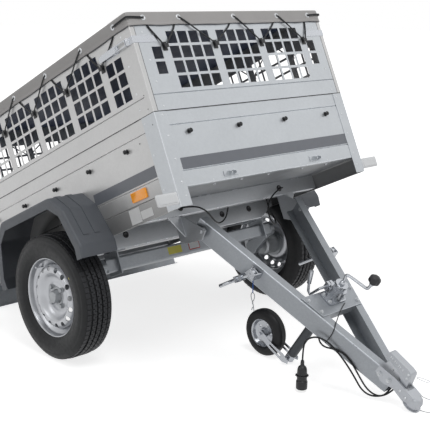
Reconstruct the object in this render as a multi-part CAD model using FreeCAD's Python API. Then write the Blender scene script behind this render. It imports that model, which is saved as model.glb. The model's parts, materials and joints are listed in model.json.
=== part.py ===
import FreeCAD, Part

import math
import os

# Single-axle utility trailer with a hinged V drawbar, parked with its bed tipped back.
# Millimetres, +Z up, the drawbar points to -Y, +X is the trailer's left side.
# The bed is drawn level in its own frame: x from the centre, y back from the front face,
# z up from the foot of the corner posts. The drawbar is drawn level about its hinge pin:
# d forward from the pin, n up. Both are then turned to the parked stance.

V = FreeCAD.Vector
X_AXIS = V(1, 0, 0)
Y_AXIS = V(0, 1, 0)
Z_AXIS = V(0, 0, 1)

# Gaps
TOUCH_GAP = 0.3
MOVING_GAP = 6.0
PIN_GAP = 0.08

# Bed
BED_WIDTH = 1110.0
BED_LENGTH = 1532.0
FLOOR_HEIGHT = 72.0
FLOOR_THICKNESS = 12.0
BOARD_TOP = 375.0
BOARD_SHEET = 1.5
BOARD_DEPTH = 25.0
BOARD_LIP = 14.0
GROOVE_DEPTH = 4.0
GROOVE_HEIGHT = 5.0
LOWER_GROOVE_HEIGHT = 132.0
UPPER_GROOVE_HEIGHT = 314.0
POST_SHEET = 2.0
POST_FRONT_LEG = 58.0
POST_SIDE_LEG = 83.0

GATE_EAR_PLACE = 360.0
GATE_EAR_HALF = 4.0
GATE_EAR_RADIUS = 7.0
GATE_ARM = 5.0
GATE_PIN_RADIUS = 4.0
GATE_PIN_DEPTH = 8.0
GATE_PIN_HEIGHT = 62.0

# Punched extension above the boards
EXTENSION_SHEET = 1.5
CORNER_WRAP = 22.0
EXTENSION_TOP = 770.0
EXTENSION_GROOVE_HEIGHT = 438.0
HOLE_WIDTH = 48.0
HOLE_HEIGHT = 50.0
HOLE_BRIDGE = 11.2
HOLE_ROWS = 4
HOLE_COLUMNS = 4
GROUP_BRIDGE = 44.0
HOLES_BOTTOM = 458.0
SIDE_FIRST_GROUP = 248.0
SIDE_GROUPS = 4
END_GROUPS = 3

# Flat cover over the extension
COVER_CLOTH = 3.0
COVER_DROP = 56.0
COVER_EASE = 3.0
KNOB_RADIUS = 9.0
KNOB_REACH = 16.0
KNOB_HEIGHT = 284.0
KNOB_PITCH = 272.0
FRONT_KNOBS = 4
SIDE_KNOBS = 5
SIDE_FIRST_KNOB = 222.0
HOOK_HEIGHT_AT = 630.0
HOOK_HEIGHT = 36.0
HOOK_WIDTH = 22.0
HOOK_SHEET = 3.0
HOOK_REACH = 15.0
TOGGLE_HEIGHT = 663.0
TOGGLE_WIDTH = 34.0
TOGGLE_STRAP = 121.0

# Chassis under the floor
MEMBER_SHEET = 3.0
MEMBER_DEPTH = 40.0
MEMBER_HEIGHT = 66.0
FRONT_MEMBER_PLACE = 300.0
REAR_MEMBER_PLACE = BED_LENGTH - 352.0
TAIL_MEMBER_PLACE = BED_LENGTH - 72.0
CARRIER_DEPTH = 100.0
CARRIER_HEIGHT = 117.0
CARRIER_TAPER = 100.0
GROMMET_RADIUS = 11.0
GROMMET_PLACE = 302.0

MEMBER_HALF = BED_WIDTH / 2 - POST_SHEET - 2 * BOARD_SHEET - GROOVE_DEPTH - TOUCH_GAP

# Rear lamp beam
LAMP_BEAM_HALF = 630.0
LAMP_BEAM_LOW = -101.0
LAMP_BEAM_HIGH = 12.0
LAMP_BEAM_GAP = 5.0
LAMP_BEAM_DEPTH = 25.0
HANGER_PLACE = 320.0
HANGER_SHEET = 3.0
HANGER_FOOT = 20.0
LAMP_WIDTH = 210.0
LAMP_HEIGHT = 84.0
LAMP_DEPTH = 38.0
LAMP_LOW = -58.0

# Axle and wheels
AXLE_PLACE = BED_LENGTH / 2 + 27.0
CARRIER_PLACE = AXLE_PLACE - 188.0
AXLE_HEIGHT = -163.0
HALF_TRACK = 650.0
TYRE_RADIUS = 269.0
TYRE_WIDTH = 152.0
BEAD_RADIUS = 166.0
TREAD_SHOULDER = 22.0
RIM_FLANGE_RADIUS = 182.5
RIM_HALF_WIDTH = 64.0
RIM_WALL = 3.5
FLANGE_SLOPE = 5.0
DROP_RADIUS = 140.0
VENT_CIRCLE = 130.5
VENT_RADIUS = 10.5
VENT_COUNT = 16
HUB_RADIUS = 52.0
BOLT_CIRCLE = 49.0
BOLT_COUNT = 4
WHEEL_BOLT_RADIUS = 6.0
CAP_RADIUS = 27.0
AXLE_TUBE = 60.0
AXLE_TUBE_WALL = 6.0
AXLE_TUBE_PLACE = AXLE_PLACE - 138.0
AXLE_TUBE_HEIGHT = -102.0
AXLE_HALF_LENGTH = 505.0
ARM_THICKNESS = 26.0
ARM_RADIUS = 34.0
STUB_RADIUS = 16.0

# Mudguards
GUARD_OUTER = BED_WIDTH / 2 + 173.0
GUARD_WALL = 4.0
GUARD_TOP = 222.0
GUARD_TOP_HALF = 203.0
GUARD_SHOULDER = 150.0
GUARD_SHOULDER_HALF = 281.0
GUARD_LOW = -15.0
GUARD_LOW_HALF = 341.0
GUARD_FOOT = -62.0
GUARD_FOOT_HALF = 336.0
GUARD_LIP = 42.0
GUARD_BEND = 40.0
GUARD_EDGE = 10.0
GUARD_RIB = 3.0
GUARD_RIB_WIDTH = 26.0

# Reflectors
SIDE_REFLECTOR_WIDTH = 96.0
SIDE_REFLECTOR_HEIGHT = 40.0
SIDE_REFLECTOR_PLACE = 221.0
SIDE_REFLECTOR_HEIGHT_AT = 106.0
FRONT_REFLECTOR_WIDTH = 106.0
FRONT_REFLECTOR_HEIGHT = 48.0
FRONT_REFLECTOR_LOW = 12.0
REFLECTOR_THICKNESS = 8.0

# Drawbar hinge
HINGE_PLACE = 201.0
HINGE_HEIGHT = -86.0
HINGE_PIN_RADIUS = 8.0
HINGE_PLATE = 5.0
HINGE_TAB_WIDTH = 66.0
LATCH_PLACE = 257.0
LATCH_HALF = 38.0
LATCH_RISE = 14.0
LATCH_HEIGHT = 22.0
LATCH_SHEET = 3.0
LATCH_REACH = 24.0
SWING_BOLT_RADIUS = 8.0

# Drawbar, from the hinge pin
BEAM_WEB = 88.0
BEAM_FLANGE = 40.0
BEAM_SHEET = 4.0
BEAM_TOP = 35.0
BEAM_TAIL = 41.0
BEAM_HALF_SPREAD = 296.7
BEAM_ANGLE = 16.74
BEAM_REACH = 905.0
PLATE_REAR = 455.0
PLATE_FRONT = 562.0
PLATE_LEVEL = BEAM_TOP + TOUCH_GAP
PLATE_THICKNESS = 5.0
PLATE_FOLD = 35.0
PLATE_INSET = 8.0

# Swing bolts on the beams' webs
SWING_PLACE = 262.0
SWING_DROP = 202.0
CLEVIS_HALF = 24.0
CLEVIS_LOW = -9.0
CLEVIS_HEIGHT = 32.0
CLEVIS_NEAR = 16.0
CLEVIS_FAR = 38.0
NUT_HALF = 13.0

# Coupling head
HEAD_REAR = BEAM_REACH - 70.0
HEAD_WALL = 4.0
HEAD_WIDE = 90.0
HEAD_TOP = BEAM_TOP + TOUCH_GAP + HEAD_WALL
CUP_PLACE = BEAM_REACH + 105.0
CUP_BORE = 25.5
CUP_WALL = 6.0
CUP_MOUTH = -8.0
CUP_BORE_DEPTH = 16.0
CUP_LIP = 6.0
HANDLE_PLACE = CUP_PLACE - 67.0
HANDLE_WIDTH = 36.0
HANDLE_SHEET = 3.0

# Jockey wheel, from the hinge pin
JOCKEY_PLACE = 495.0
JOCKEY_TUBE_RADIUS = 24.0
JOCKEY_TUBE_WALL = 3.0
JOCKEY_TUBE_TOP = 113.0
JOCKEY_TUBE_LOW = -120.0
CAP_HEIGHT = 10.0
CRANK_RADIUS = 6.5
JOCKEY_LEG_RADIUS = 20.6
JOCKEY_OVERLAP = 105.0
SWIVEL_HEIGHT = 40.0
JOCKEY_WHEEL_RADIUS = 103.0
JOCKEY_WHEEL_WIDTH = 52.0
JOCKEY_RIM_RADIUS = 62.0
JOCKEY_TRAIL = 160.0
FORK_PLATE = 4.0
FORK_HALF_GAP = 31.0
JOCKEY_PIN_RADIUS = 7.0
JOCKEY_RIM_HOLES = 5
CLAMP_RADIUS = 35.0
CLAMP_HEIGHT = 58.0
CLAMP_FOOT = 52.0
CLAMP_EAR = 16.0
CLAMP_EAR_REACH = 54.0
LEVER_RADIUS = 5.5
KNOB_BALL_RADIUS = 24.0

# Cables and the loose pieces of the drawbar
CABLE_RADIUS = 3.5
LANYARD_RADIUS = 2.0
WIRE_RADIUS = 1.5
PLUG_LENGTH = 118.0
PLUG_RADIUS = 23.0
CLIP_WIRE = 2.5
CLIP_HALF = 8.0
CLIP_LENGTH = 78.0

# Parked stance. The bed tips about the axle until the lamp beam's rear edge meets the ground,
# the drawbar hangs from its hinge until the coupling's lip meets it,
# and the jockey leg is run out until its wheel does.
BEAM_REAR_FACE = BED_LENGTH + LAMP_BEAM_GAP + LAMP_BEAM_DEPTH
TAIL_REACH = BEAM_REAR_FACE - AXLE_PLACE
TAIL_RISE = LAMP_BEAM_LOW - AXLE_HEIGHT
BED_TIP = math.asin(TYRE_RADIUS / math.hypot(TAIL_REACH, TAIL_RISE)) + math.atan2(TAIL_RISE, TAIL_REACH)


def bed_point(x, y, z):
    """A point of the level bed, in the parked stance."""
    dy = y - AXLE_PLACE
    dz = z - AXLE_HEIGHT
    return V(x, dy * math.cos(BED_TIP) + dz * math.sin(BED_TIP),
             TYRE_RADIUS - dy * math.sin(BED_TIP) + dz * math.cos(BED_TIP))


HINGE = bed_point(0, HINGE_PLACE, HINGE_HEIGHT)
LIP_REACH = CUP_PLACE + CUP_BORE + CUP_WALL + CUP_LIP
LIP_LOW = CUP_MOUTH
DRAWBAR_DROP = math.asin(HINGE.z / math.hypot(LIP_REACH, LIP_LOW)) + math.atan2(LIP_LOW, LIP_REACH)
JOCKEY_HUB_PLACE = JOCKEY_PLACE - JOCKEY_TRAIL
JOCKEY_HUB_LEVEL = -(HINGE.z - JOCKEY_WHEEL_RADIUS - JOCKEY_HUB_PLACE * math.sin(DRAWBAR_DROP)) / math.cos(DRAWBAR_DROP)


def block(x0, x1, y0, y1, z0, z1):
    return Part.makeBox(x1 - x0, y1 - y0, z1 - z0, V(x0, y0, z0))


def face_of(points):
    return Part.Face(Part.makePolygon(points + points[:1]))


def prism_along_x(outline, x0, x1):
    """An outline of (y, z) points drawn out from x0 to x1."""
    return face_of([V(x0, y, z) for y, z in outline]).extrude(V(x1 - x0, 0, 0))


def prism_along_y(outline, y0, y1):
    """An outline of (x, z) points drawn out from y0 to y1."""
    return face_of([V(x, y0, z) for x, z in outline]).extrude(V(0, y1 - y0, 0))


def prism_along_z(outline, z0, z1):
    """An outline of (x, y) points drawn out from z0 to z1."""
    return face_of([V(x, y, z0) for x, y in outline]).extrude(V(0, 0, z1 - z0))


def rod(start, end, radius):
    return Part.makeCylinder(radius, (end - start).Length, start, end - start)


def turned(outline, place, axis):
    """A solid of revolution about an axis along X or Z, from (along, radius) points."""
    if axis is X_AXIS:
        points = [V(place.x + a, place.y, place.z + r) for a, r in outline]
    else:
        points = [V(place.x + r, place.y, place.z + a) for a, r in outline]
    return face_of(points).revolve(place, axis, 360)


def joined(shapes):
    body = shapes[0]
    if len(shapes) > 1:
        body = body.multiFuse(shapes[1:])
    return body.removeSplitter()


def mirrored(shape):
    return shape.mirror(V(0, 0, 0), X_AXIS)


def sheet_outline(path, thickness):
    """The closed outline of a folded sheet whose outer skin follows path, with the sheet on its left."""
    inner = []
    count = len(path)
    for i, (a, b) in enumerate(path):
        before = path[max(i - 1, 0)]
        after = path[min(i + 1, count - 1)]
        directions = []
        for start, end in ((before, (a, b)), ((a, b), after)):
            length = math.hypot(end[0] - start[0], end[1] - start[1])
            if length > 0:
                directions.append(((end[0] - start[0]) / length, (end[1] - start[1]) / length))
        normals = [(-v, u) for u, v in directions]
        total = (sum(n[0] for n in normals), sum(n[1] for n in normals))
        scale = thickness * len(normals) / (total[0] ** 2 + total[1] ** 2)
        if len(normals) == 2:
            scale = thickness * 2 / (total[0] ** 2 + total[1] ** 2)
        inner.append((a + total[0] * scale, b + total[1] * scale))
    return list(path) + inner[::-1]


def groove(depth_axis_value, low, depth):
    """Three points of a pressed groove in a skin at depth_axis_value, pressed in by depth."""
    return [
        (depth_axis_value, low),
        (depth_axis_value + depth, low + GROOVE_HEIGHT / 2),
        (depth_axis_value, low + GROOVE_HEIGHT),
    ]


def board_path(low, skin, has_skirt):
    """The outer skin of a board, (depth, height), from its top lip down to its foot."""
    back = skin + BOARD_DEPTH
    path = [(back, BOARD_TOP - BOARD_LIP), (back, BOARD_TOP), (skin, BOARD_TOP)]
    path += groove(skin, UPPER_GROOVE_HEIGHT, GROOVE_DEPTH)[::-1]
    path += groove(skin, LOWER_GROOVE_HEIGHT, GROOVE_DEPTH)[::-1]
    if has_skirt:
        path += groove(skin, FLOOR_HEIGHT - GROOVE_HEIGHT / 2, GROOVE_DEPTH)[::-1]
        path += [(skin, low), (skin + BOARD_LIP, low)]
    else:
        path += [(skin, low), (back, low)]
    return path


SKIN = POST_SHEET
HALF_BED = BED_WIDTH / 2
BOARD_HALF = HALF_BED - POST_SHEET
BOARD_BACK = SKIN + BOARD_DEPTH


def end_board():
    """A front board, seen from outside at y = SKIN; the tailgate is the same board turned round."""
    outline = sheet_outline(board_path(FLOOR_HEIGHT, SKIN, False), BOARD_SHEET)
    return prism_along_x(outline, -BOARD_HALF + TOUCH_GAP, BOARD_HALF - TOUCH_GAP)


def side_board():
    """The right-hand side board; its skin is at x = -BOARD_HALF."""
    outline = sheet_outline(board_path(0, 0, True), BOARD_SHEET)
    outline = [(-BOARD_HALF + depth, height) for depth, height in outline]
    return prism_along_y(outline, BOARD_BACK + TOUCH_GAP, BED_LENGTH - BOARD_BACK - TOUCH_GAP)


def tailgate():
    """The rear board between the posts, hung on two ears below it."""
    path = board_path(FLOOR_HEIGHT, 0, False)
    path = [(depth, min(height, BOARD_TOP - MOVING_GAP)) for depth, height in path]
    outline = [(BED_LENGTH - depth, height) for depth, height in sheet_outline(path, BOARD_SHEET)]
    half = HALF_BED - POST_FRONT_LEG - MOVING_GAP
    shapes = [prism_along_x(outline, -half, half)]
    low = GATE_PIN_HEIGHT - GATE_EAR_RADIUS
    back = BED_LENGTH - 2 * GATE_EAR_RADIUS
    ear = [(BED_LENGTH, FLOOR_HEIGHT + 26), (BED_LENGTH, low), (back, low), (back, FLOOR_HEIGHT + 2)]
    for x in (-GATE_EAR_PLACE, GATE_EAR_PLACE):
        shapes.append(prism_along_x(ear, x - GATE_EAR_HALF, x + GATE_EAR_HALF))
    body = joined(shapes)
    for x in (-GATE_EAR_PLACE, GATE_EAR_PLACE):
        centre = V(x - 6, BED_LENGTH - GATE_PIN_DEPTH, GATE_PIN_HEIGHT)
        body = body.cut(Part.makeCylinder(GATE_PIN_RADIUS + PIN_GAP, 12, centre, X_AXIS))
    return body


def gate_hinge():
    """A rounded arm behind the tail member with the pin that carries one ear of the tailgate."""
    outer = GATE_EAR_PLACE - GATE_EAR_HALF - MOVING_GAP
    inner = outer - GATE_ARM
    back = TAIL_MEMBER_PLACE + MEMBER_DEPTH + TOUCH_GAP
    pin_place = BED_LENGTH - GATE_PIN_DEPTH
    arm = block(inner, outer, back, pin_place, GATE_PIN_HEIGHT - GATE_EAR_RADIUS, GATE_PIN_HEIGHT + GATE_EAR_RADIUS)
    start = V(inner, pin_place, GATE_PIN_HEIGHT)
    end = Part.makeCylinder(GATE_EAR_RADIUS, GATE_ARM, start, X_AXIS)
    pin = Part.makeCylinder(GATE_PIN_RADIUS, GATE_EAR_PLACE + GATE_EAR_HALF + 4 - inner, start, X_AXIS)
    return joined([arm, end, pin])


def gate_hinges():
    one = gate_hinge()
    return Part.Compound([one, mirrored(one)])


def turned_round(shape):
    """The same shape at the other end of the bed."""
    return shape.mirror(V(0, BED_LENGTH / 2, 0), Y_AXIS)


def corner_post():
    outline = [(-HALF_BED, 0), (-HALF_BED + POST_FRONT_LEG, 0), (-HALF_BED + POST_FRONT_LEG, POST_SHEET),
               (-HALF_BED + POST_SHEET, POST_SHEET), (-HALF_BED + POST_SHEET, POST_SIDE_LEG),
               (-HALF_BED, POST_SIDE_LEG)]
    return prism_along_z(outline, 0, BOARD_TOP)


def corner_posts():
    front = corner_post()
    rear = turned_round(front)
    return Part.Compound([front, mirrored(front), rear, mirrored(rear)])


def floor_panel():
    return block(-MEMBER_HALF, MEMBER_HALF, BOARD_BACK + TOUCH_GAP, BED_LENGTH - BOARD_DEPTH - MOVING_GAP,
                 FLOOR_HEIGHT, FLOOR_HEIGHT + FLOOR_THICKNESS)


def channel(place, height, depth, taper):
    """A cross-member: a channel open to the rear, its ends tapered up by taper."""
    top = FLOOR_HEIGHT
    low = FLOOR_HEIGHT - height
    half = MEMBER_HALF
    side = max(low, BOARD_SHEET + TOUCH_GAP)
    lip = BOARD_HALF - BOARD_LIP - TOUCH_GAP
    outline = [(-half, top), (half, top), (half, side), (lip, side), (half - taper, low), (-half + taper, low),
               (-lip, side), (-half, side)]
    if side == low:
        outline = [(-half, top), (half, top), (half, low), (-half, low)]
    body = prism_along_y(outline, place, place + depth)
    inner = [(x, z - MEMBER_SHEET if z == top else z + MEMBER_SHEET) for x, z in outline]
    inner = [(x * 1.1 if abs(x) == half else x, z) for x, z in inner]
    return body.cut(prism_along_y(inner, place + MEMBER_SHEET, place + depth + 1))


def cross_members():
    front = channel(FRONT_MEMBER_PLACE, MEMBER_HEIGHT, MEMBER_DEPTH, 0)
    for x in (-GROMMET_PLACE, GROMMET_PLACE):
        centre = V(x, FRONT_MEMBER_PLACE - 1, FLOOR_HEIGHT - MEMBER_HEIGHT / 2)
        front = front.cut(Part.makeCylinder(GROMMET_RADIUS, MEMBER_SHEET + 2, centre, Y_AXIS))
    carrier = channel(CARRIER_PLACE, CARRIER_HEIGHT, CARRIER_DEPTH, CARRIER_TAPER)
    rear = channel(REAR_MEMBER_PLACE, MEMBER_HEIGHT, MEMBER_DEPTH, 0)
    tail = channel(TAIL_MEMBER_PLACE, MEMBER_HEIGHT, MEMBER_DEPTH, 0)
    return Part.Compound([front, carrier, rear, tail])


def hole(across, height):
    return across, across + HOLE_WIDTH, height, height + HOLE_HEIGHT


def group_holes(start, columns, first_row, last_row):
    """The holes of one group as (low across, high across, low height, high height)."""
    found = []
    for column in range(columns):
        for row in range(first_row, last_row):
            across = start + column * (HOLE_WIDTH + HOLE_BRIDGE)
            found.append(hole(across, HOLES_BOTTOM + row * (HOLE_HEIGHT + HOLE_BRIDGE)))
    return found


GROUP_WIDTH = HOLE_COLUMNS * HOLE_WIDTH + (HOLE_COLUMNS - 1) * HOLE_BRIDGE
GROUP_PITCH = GROUP_WIDTH + GROUP_BRIDGE


def end_holes():
    first = -(END_GROUPS * GROUP_WIDTH + (END_GROUPS - 1) * GROUP_BRIDGE) / 2
    found = []
    for group in range(END_GROUPS):
        found += group_holes(first + group * GROUP_PITCH, HOLE_COLUMNS, 0, HOLE_ROWS)
    found += group_holes(first - GROUP_BRIDGE - HOLE_WIDTH, 1, 1, HOLE_ROWS - 1)
    found += group_holes(-first + GROUP_BRIDGE, 1, 1, HOLE_ROWS - 1)
    return found


def side_holes():
    pair = 2 * HOLE_WIDTH + HOLE_BRIDGE
    found = group_holes(SIDE_FIRST_GROUP - GROUP_BRIDGE - pair, 2, 0, HOLE_ROWS - 1)
    for group in range(SIDE_GROUPS):
        found += group_holes(SIDE_FIRST_GROUP + group * GROUP_PITCH, HOLE_COLUMNS, 0, HOLE_ROWS)
    found += group_holes(SIDE_FIRST_GROUP + SIDE_GROUPS * GROUP_PITCH, 2, 0, HOLE_ROWS - 1)
    return found


def extension_path(skin):
    back = skin + BOARD_DEPTH
    path = [(back, EXTENSION_TOP - BOARD_LIP), (back, EXTENSION_TOP), (skin, EXTENSION_TOP)]
    path += groove(skin, EXTENSION_GROOVE_HEIGHT, GROOVE_DEPTH)[::-1]
    path += [(skin, BOARD_TOP + TOUCH_GAP), (back, BOARD_TOP + TOUCH_GAP)]
    return path


def end_mesh():
    """The punched end wall, between the flanges that the side walls wrap round the corners."""
    outline = sheet_outline(extension_path(0), EXTENSION_SHEET)
    half = HALF_BED - CORNER_WRAP - TOUCH_GAP
    body = prism_along_x(outline, -half, half)
    punches = [block(a, b, -1, BOARD_DEPTH / 2, low, high) for a, b, low, high in end_holes()]
    return body.cut(Part.Compound(punches))


def side_mesh():
    """The punched side wall, wrapped round both corners onto the ends."""
    outline = sheet_outline(extension_path(0), EXTENSION_SHEET)
    outline = [(-HALF_BED + depth, height) for depth, height in outline]
    body = prism_along_y(outline, BOARD_BACK + TOUCH_GAP, BED_LENGTH - BOARD_BACK - TOUCH_GAP)
    punches = [block(-HALF_BED - 1, -HALF_BED + BOARD_DEPTH / 2, a, b, low, high)
               for a, b, low, high in side_holes()]
    body = body.cut(Part.Compound(punches))
    t = EXTENSION_SHEET
    back = BOARD_BACK + 2 * t
    wrap = prism_along_z([(-HALF_BED, back), (-HALF_BED, 0), (-HALF_BED + CORNER_WRAP, 0), (-HALF_BED + CORNER_WRAP, t),
                          (-HALF_BED + t, t), (-HALF_BED + t, back)], BOARD_TOP + TOUCH_GAP, EXTENSION_TOP)
    return joined([body, wrap, turned_round(wrap)])


def cover():
    """A flat cover with a hanging border on all four sides, open below."""
    reach = COVER_EASE + COVER_CLOTH
    low = EXTENSION_TOP + TOUCH_GAP - COVER_DROP
    high = EXTENSION_TOP + TOUCH_GAP + COVER_CLOTH
    outer = block(-HALF_BED - reach, HALF_BED + reach, -reach, BED_LENGTH + reach, low, high)
    outer = outer.makeFillet(reach - 1, [e for e in outer.Edges if e.BoundBox.ZMin > low + 1])
    inner = block(-HALF_BED - COVER_EASE, HALF_BED + COVER_EASE, -COVER_EASE, BED_LENGTH + COVER_EASE,
                  low - 1, high - COVER_CLOTH)
    return outer.cut(inner)


def knob(place, axis):
    """A cover knob: a stem and a mushroom head that stands out along axis."""
    stem = Part.makeCylinder(KNOB_RADIUS * 0.5, KNOB_REACH * 0.6, place, axis)
    head = Part.makeCylinder(KNOB_RADIUS, KNOB_REACH * 0.4, place + axis * (KNOB_REACH * 0.6), axis)
    return stem.fuse(head)


def cover_knobs():
    found = []
    for i in range(FRONT_KNOBS):
        x = (i - (FRONT_KNOBS - 1) / 2) * KNOB_PITCH
        found.append(knob(V(x, SKIN, KNOB_HEIGHT), V(0, -1, 0)))
    for i in range(SIDE_KNOBS):
        y = SIDE_FIRST_KNOB + i * KNOB_PITCH
        side = knob(V(-BOARD_HALF, y, KNOB_HEIGHT), V(-1, 0, 0))
        found += [side, mirrored(side)]
    return Part.Compound(found)


def side_reflectors():
    half = SIDE_REFLECTOR_WIDTH / 2
    rise = SIDE_REFLECTOR_HEIGHT / 2
    x = -BOARD_HALF
    one = block(x - REFLECTOR_THICKNESS, x, SIDE_REFLECTOR_PLACE - half, SIDE_REFLECTOR_PLACE + half,
                SIDE_REFLECTOR_HEIGHT_AT - rise, SIDE_REFLECTOR_HEIGHT_AT + rise)
    return Part.Compound([one, mirrored(one)])


def front_reflectors():
    low = FRONT_REFLECTOR_LOW
    one = block(-HALF_BED - FRONT_REFLECTOR_WIDTH, -HALF_BED, 0, REFLECTOR_THICKNESS, low,
                low + FRONT_REFLECTOR_HEIGHT)
    return Part.Compound([one, mirrored(one)])


def cover_hook():
    """A hook for the cover's elastic cord, against a wall at y = 0, its horn pointing down."""
    half = HOOK_HEIGHT / 2
    t = HOOK_SHEET
    reach = HOOK_REACH
    outline = [(0, -half), (0, half), (-t, half), (-t, half / 2), (-reach + t, half / 2), (-reach, half / 2 - t),
               (-reach, -half / 2), (-reach + t, -half / 2), (-reach + t, half / 2 - 2 * t), (-t, half / 2 - 2 * t),
               (-t, -half)]
    return prism_along_x(outline, -HOOK_WIDTH / 2, HOOK_WIDTH / 2)


def cover_hooks():
    one = cover_hook()
    found = []
    for x in (-3, -1, 1, 3):
        found.append(one.translated(V(x * KNOB_PITCH / 2, 0, HOOK_HEIGHT_AT)))
    side = one.rotated(V(0, 0, 0), Z_AXIS, -90)
    for i in range(SIDE_KNOBS):
        place = side.translated(V(-HALF_BED, SIDE_FIRST_KNOB + i * KNOB_PITCH, HOOK_HEIGHT_AT))
        found += [place, mirrored(place)]
    found += [turned_round(shape) for shape in found[:4]]
    return Part.Compound(found)


def lamp_beam():
    """A channel under the tailgate, open to the front, held by two hangers under the tail member."""
    front = BED_LENGTH + LAMP_BEAM_GAP
    body = block(-LAMP_BEAM_HALF, LAMP_BEAM_HALF, front, BEAM_REAR_FACE, LAMP_BEAM_LOW, LAMP_BEAM_HIGH)
    body = body.cut(block(-LAMP_BEAM_HALF - 1, LAMP_BEAM_HALF + 1, front - 1, BEAM_REAR_FACE - MEMBER_SHEET,
                          LAMP_BEAM_LOW + MEMBER_SHEET, LAMP_BEAM_HIGH - MEMBER_SHEET))
    top = FLOOR_HEIGHT - MEMBER_HEIGHT - TOUCH_GAP
    start = TAIL_MEMBER_PLACE + 2
    web = [(start, top), (BEAM_REAR_FACE - 1, top), (BEAM_REAR_FACE - 1, LAMP_BEAM_LOW / 2),
           (front + 2, LAMP_BEAM_LOW / 2), (start, top - HANGER_FOOT)]
    shapes = [body]
    for x in (-HANGER_PLACE, HANGER_PLACE):
        shapes.append(prism_along_x(web, x - HANGER_SHEET, x + HANGER_SHEET))
        shapes.append(block(x - HANGER_FOOT, x + HANGER_FOOT, start, start + MEMBER_DEPTH - 4, top - HANGER_SHEET, top))
    return joined(shapes)


def tail_lamps():
    outer = LAMP_BEAM_HALF - 8
    one = block(-outer, -outer + LAMP_WIDTH, BEAM_REAR_FACE, BEAM_REAR_FACE + LAMP_DEPTH, LAMP_LOW,
                LAMP_LOW + LAMP_HEIGHT)
    upright = [e for e in one.Edges if abs(e.Vertexes[0].Y - e.Vertexes[1].Y) > 1]
    one = one.makeFillet(12, upright)
    return Part.Compound([one, mirrored(one)])


def guard_outline(inset):
    """The mudguard's arch from the side, front foot over the top to the rear foot."""
    half = [(-GUARD_FOOT_HALF + inset, GUARD_FOOT), (-GUARD_LOW_HALF + inset, GUARD_LOW),
            (-GUARD_SHOULDER_HALF + inset * 0.8, GUARD_SHOULDER - inset * 0.4),
            (-GUARD_TOP_HALF + inset * 0.5, GUARD_TOP - inset)]
    points = half + [(-a, b) for a, b in half[::-1]]
    return [(AXLE_PLACE + a, b) for a, b in points]


def guard_form(inset, x0, x1, foot):
    """The mudguard's arch drawn out from x0 to x1, its bends rounded, its foot lowered by foot."""
    outline = [(y, z if z > GUARD_FOOT else z - foot) for y, z in guard_outline(inset)]
    body = prism_along_x(outline, x0, x1)
    bends = [e for e in body.Edges if e.BoundBox.XLength > 1 and e.BoundBox.ZMin > GUARD_FOOT + 1]
    return body.makeFillet(GUARD_BEND - inset, bends)


def mudguard():
    """A moulded guard: an arch with an outer wall that is open round the wheel, and two ribs on its front."""
    inner = -BOARD_HALF - TOUCH_GAP
    outer = guard_form(0, -GUARD_OUTER, inner, 0)
    rim_edges = [e for e in outer.Edges if e.BoundBox.XMax < -GUARD_OUTER + 1 and e.BoundBox.ZMax > GUARD_FOOT + 1]
    outer = outer.makeFillet(GUARD_EDGE, rim_edges)
    ribs = []
    for x in (0.3, 0.62):
        start = inner - x * (GUARD_OUTER + inner)
        rib = guard_form(-GUARD_RIB, start - GUARD_RIB_WIDTH, start, 0)
        ribs.append(rib.common(block(-GUARD_OUTER, inner, AXLE_PLACE - GUARD_LOW_HALF - 10,
                                     AXLE_PLACE - GUARD_TOP_HALF + 12, GUARD_LOW + 45, GUARD_TOP + 10)))
    body = outer.multiFuse(ribs)
    hollow = guard_form(GUARD_WALL, -GUARD_OUTER + GUARD_WALL, inner + 1, 1)
    opening = prism_along_x([(y, z if z > GUARD_FOOT else z - 1) for y, z in guard_outline(GUARD_LIP)],
                            -GUARD_OUTER - 1, -GUARD_OUTER + GUARD_WALL + 1)
    return body.cut(hollow).cut(opening)


def axle_beam():
    half = AXLE_TUBE / 2
    outer = block(-AXLE_HALF_LENGTH, AXLE_HALF_LENGTH, AXLE_TUBE_PLACE - half, AXLE_TUBE_PLACE + half,
                  AXLE_TUBE_HEIGHT - half, AXLE_TUBE_HEIGHT + half)
    edges = [e for e in outer.Edges if abs(e.Vertexes[0].X - e.Vertexes[1].X) > 1]
    outer = outer.makeFillet(9, edges)
    bore = half - AXLE_TUBE_WALL
    return outer.cut(block(-AXLE_HALF_LENGTH - 1, AXLE_HALF_LENGTH + 1, AXLE_TUBE_PLACE - bore,
                           AXLE_TUBE_PLACE + bore, AXLE_TUBE_HEIGHT - bore, AXLE_TUBE_HEIGHT + bore))


CARRIER_LOW = FLOOR_HEIGHT - CARRIER_HEIGHT


def axle_brackets():
    """A saddle each side that hangs the axle tube from the carrier."""
    half = AXLE_TUBE / 2
    x0 = -AXLE_HALF_LENGTH + 55
    x1 = x0 + 6
    low = AXLE_TUBE_HEIGHT - half - 14
    outline = [(AXLE_TUBE_PLACE - half - 18, CARRIER_LOW), (AXLE_TUBE_PLACE + half + 20, CARRIER_LOW),
               (AXLE_TUBE_PLACE + half + 16, low), (AXLE_TUBE_PLACE - half - 16, low)]
    plate = prism_along_x(outline, x0, x1)
    seat = half + TOUCH_GAP
    plate = plate.cut(block(x0 - 1, x1 + 1, AXLE_TUBE_PLACE - seat, AXLE_TUBE_PLACE + seat,
                            AXLE_TUBE_HEIGHT - seat, AXLE_TUBE_HEIGHT + seat))
    foot = block(x0, x0 + 50, AXLE_TUBE_PLACE - half - 18, AXLE_TUBE_PLACE + half + 20, CARRIER_LOW - 5,
                 CARRIER_LOW)
    one = plate.fuse(foot)
    return Part.Compound([one, mirrored(one)])


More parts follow.
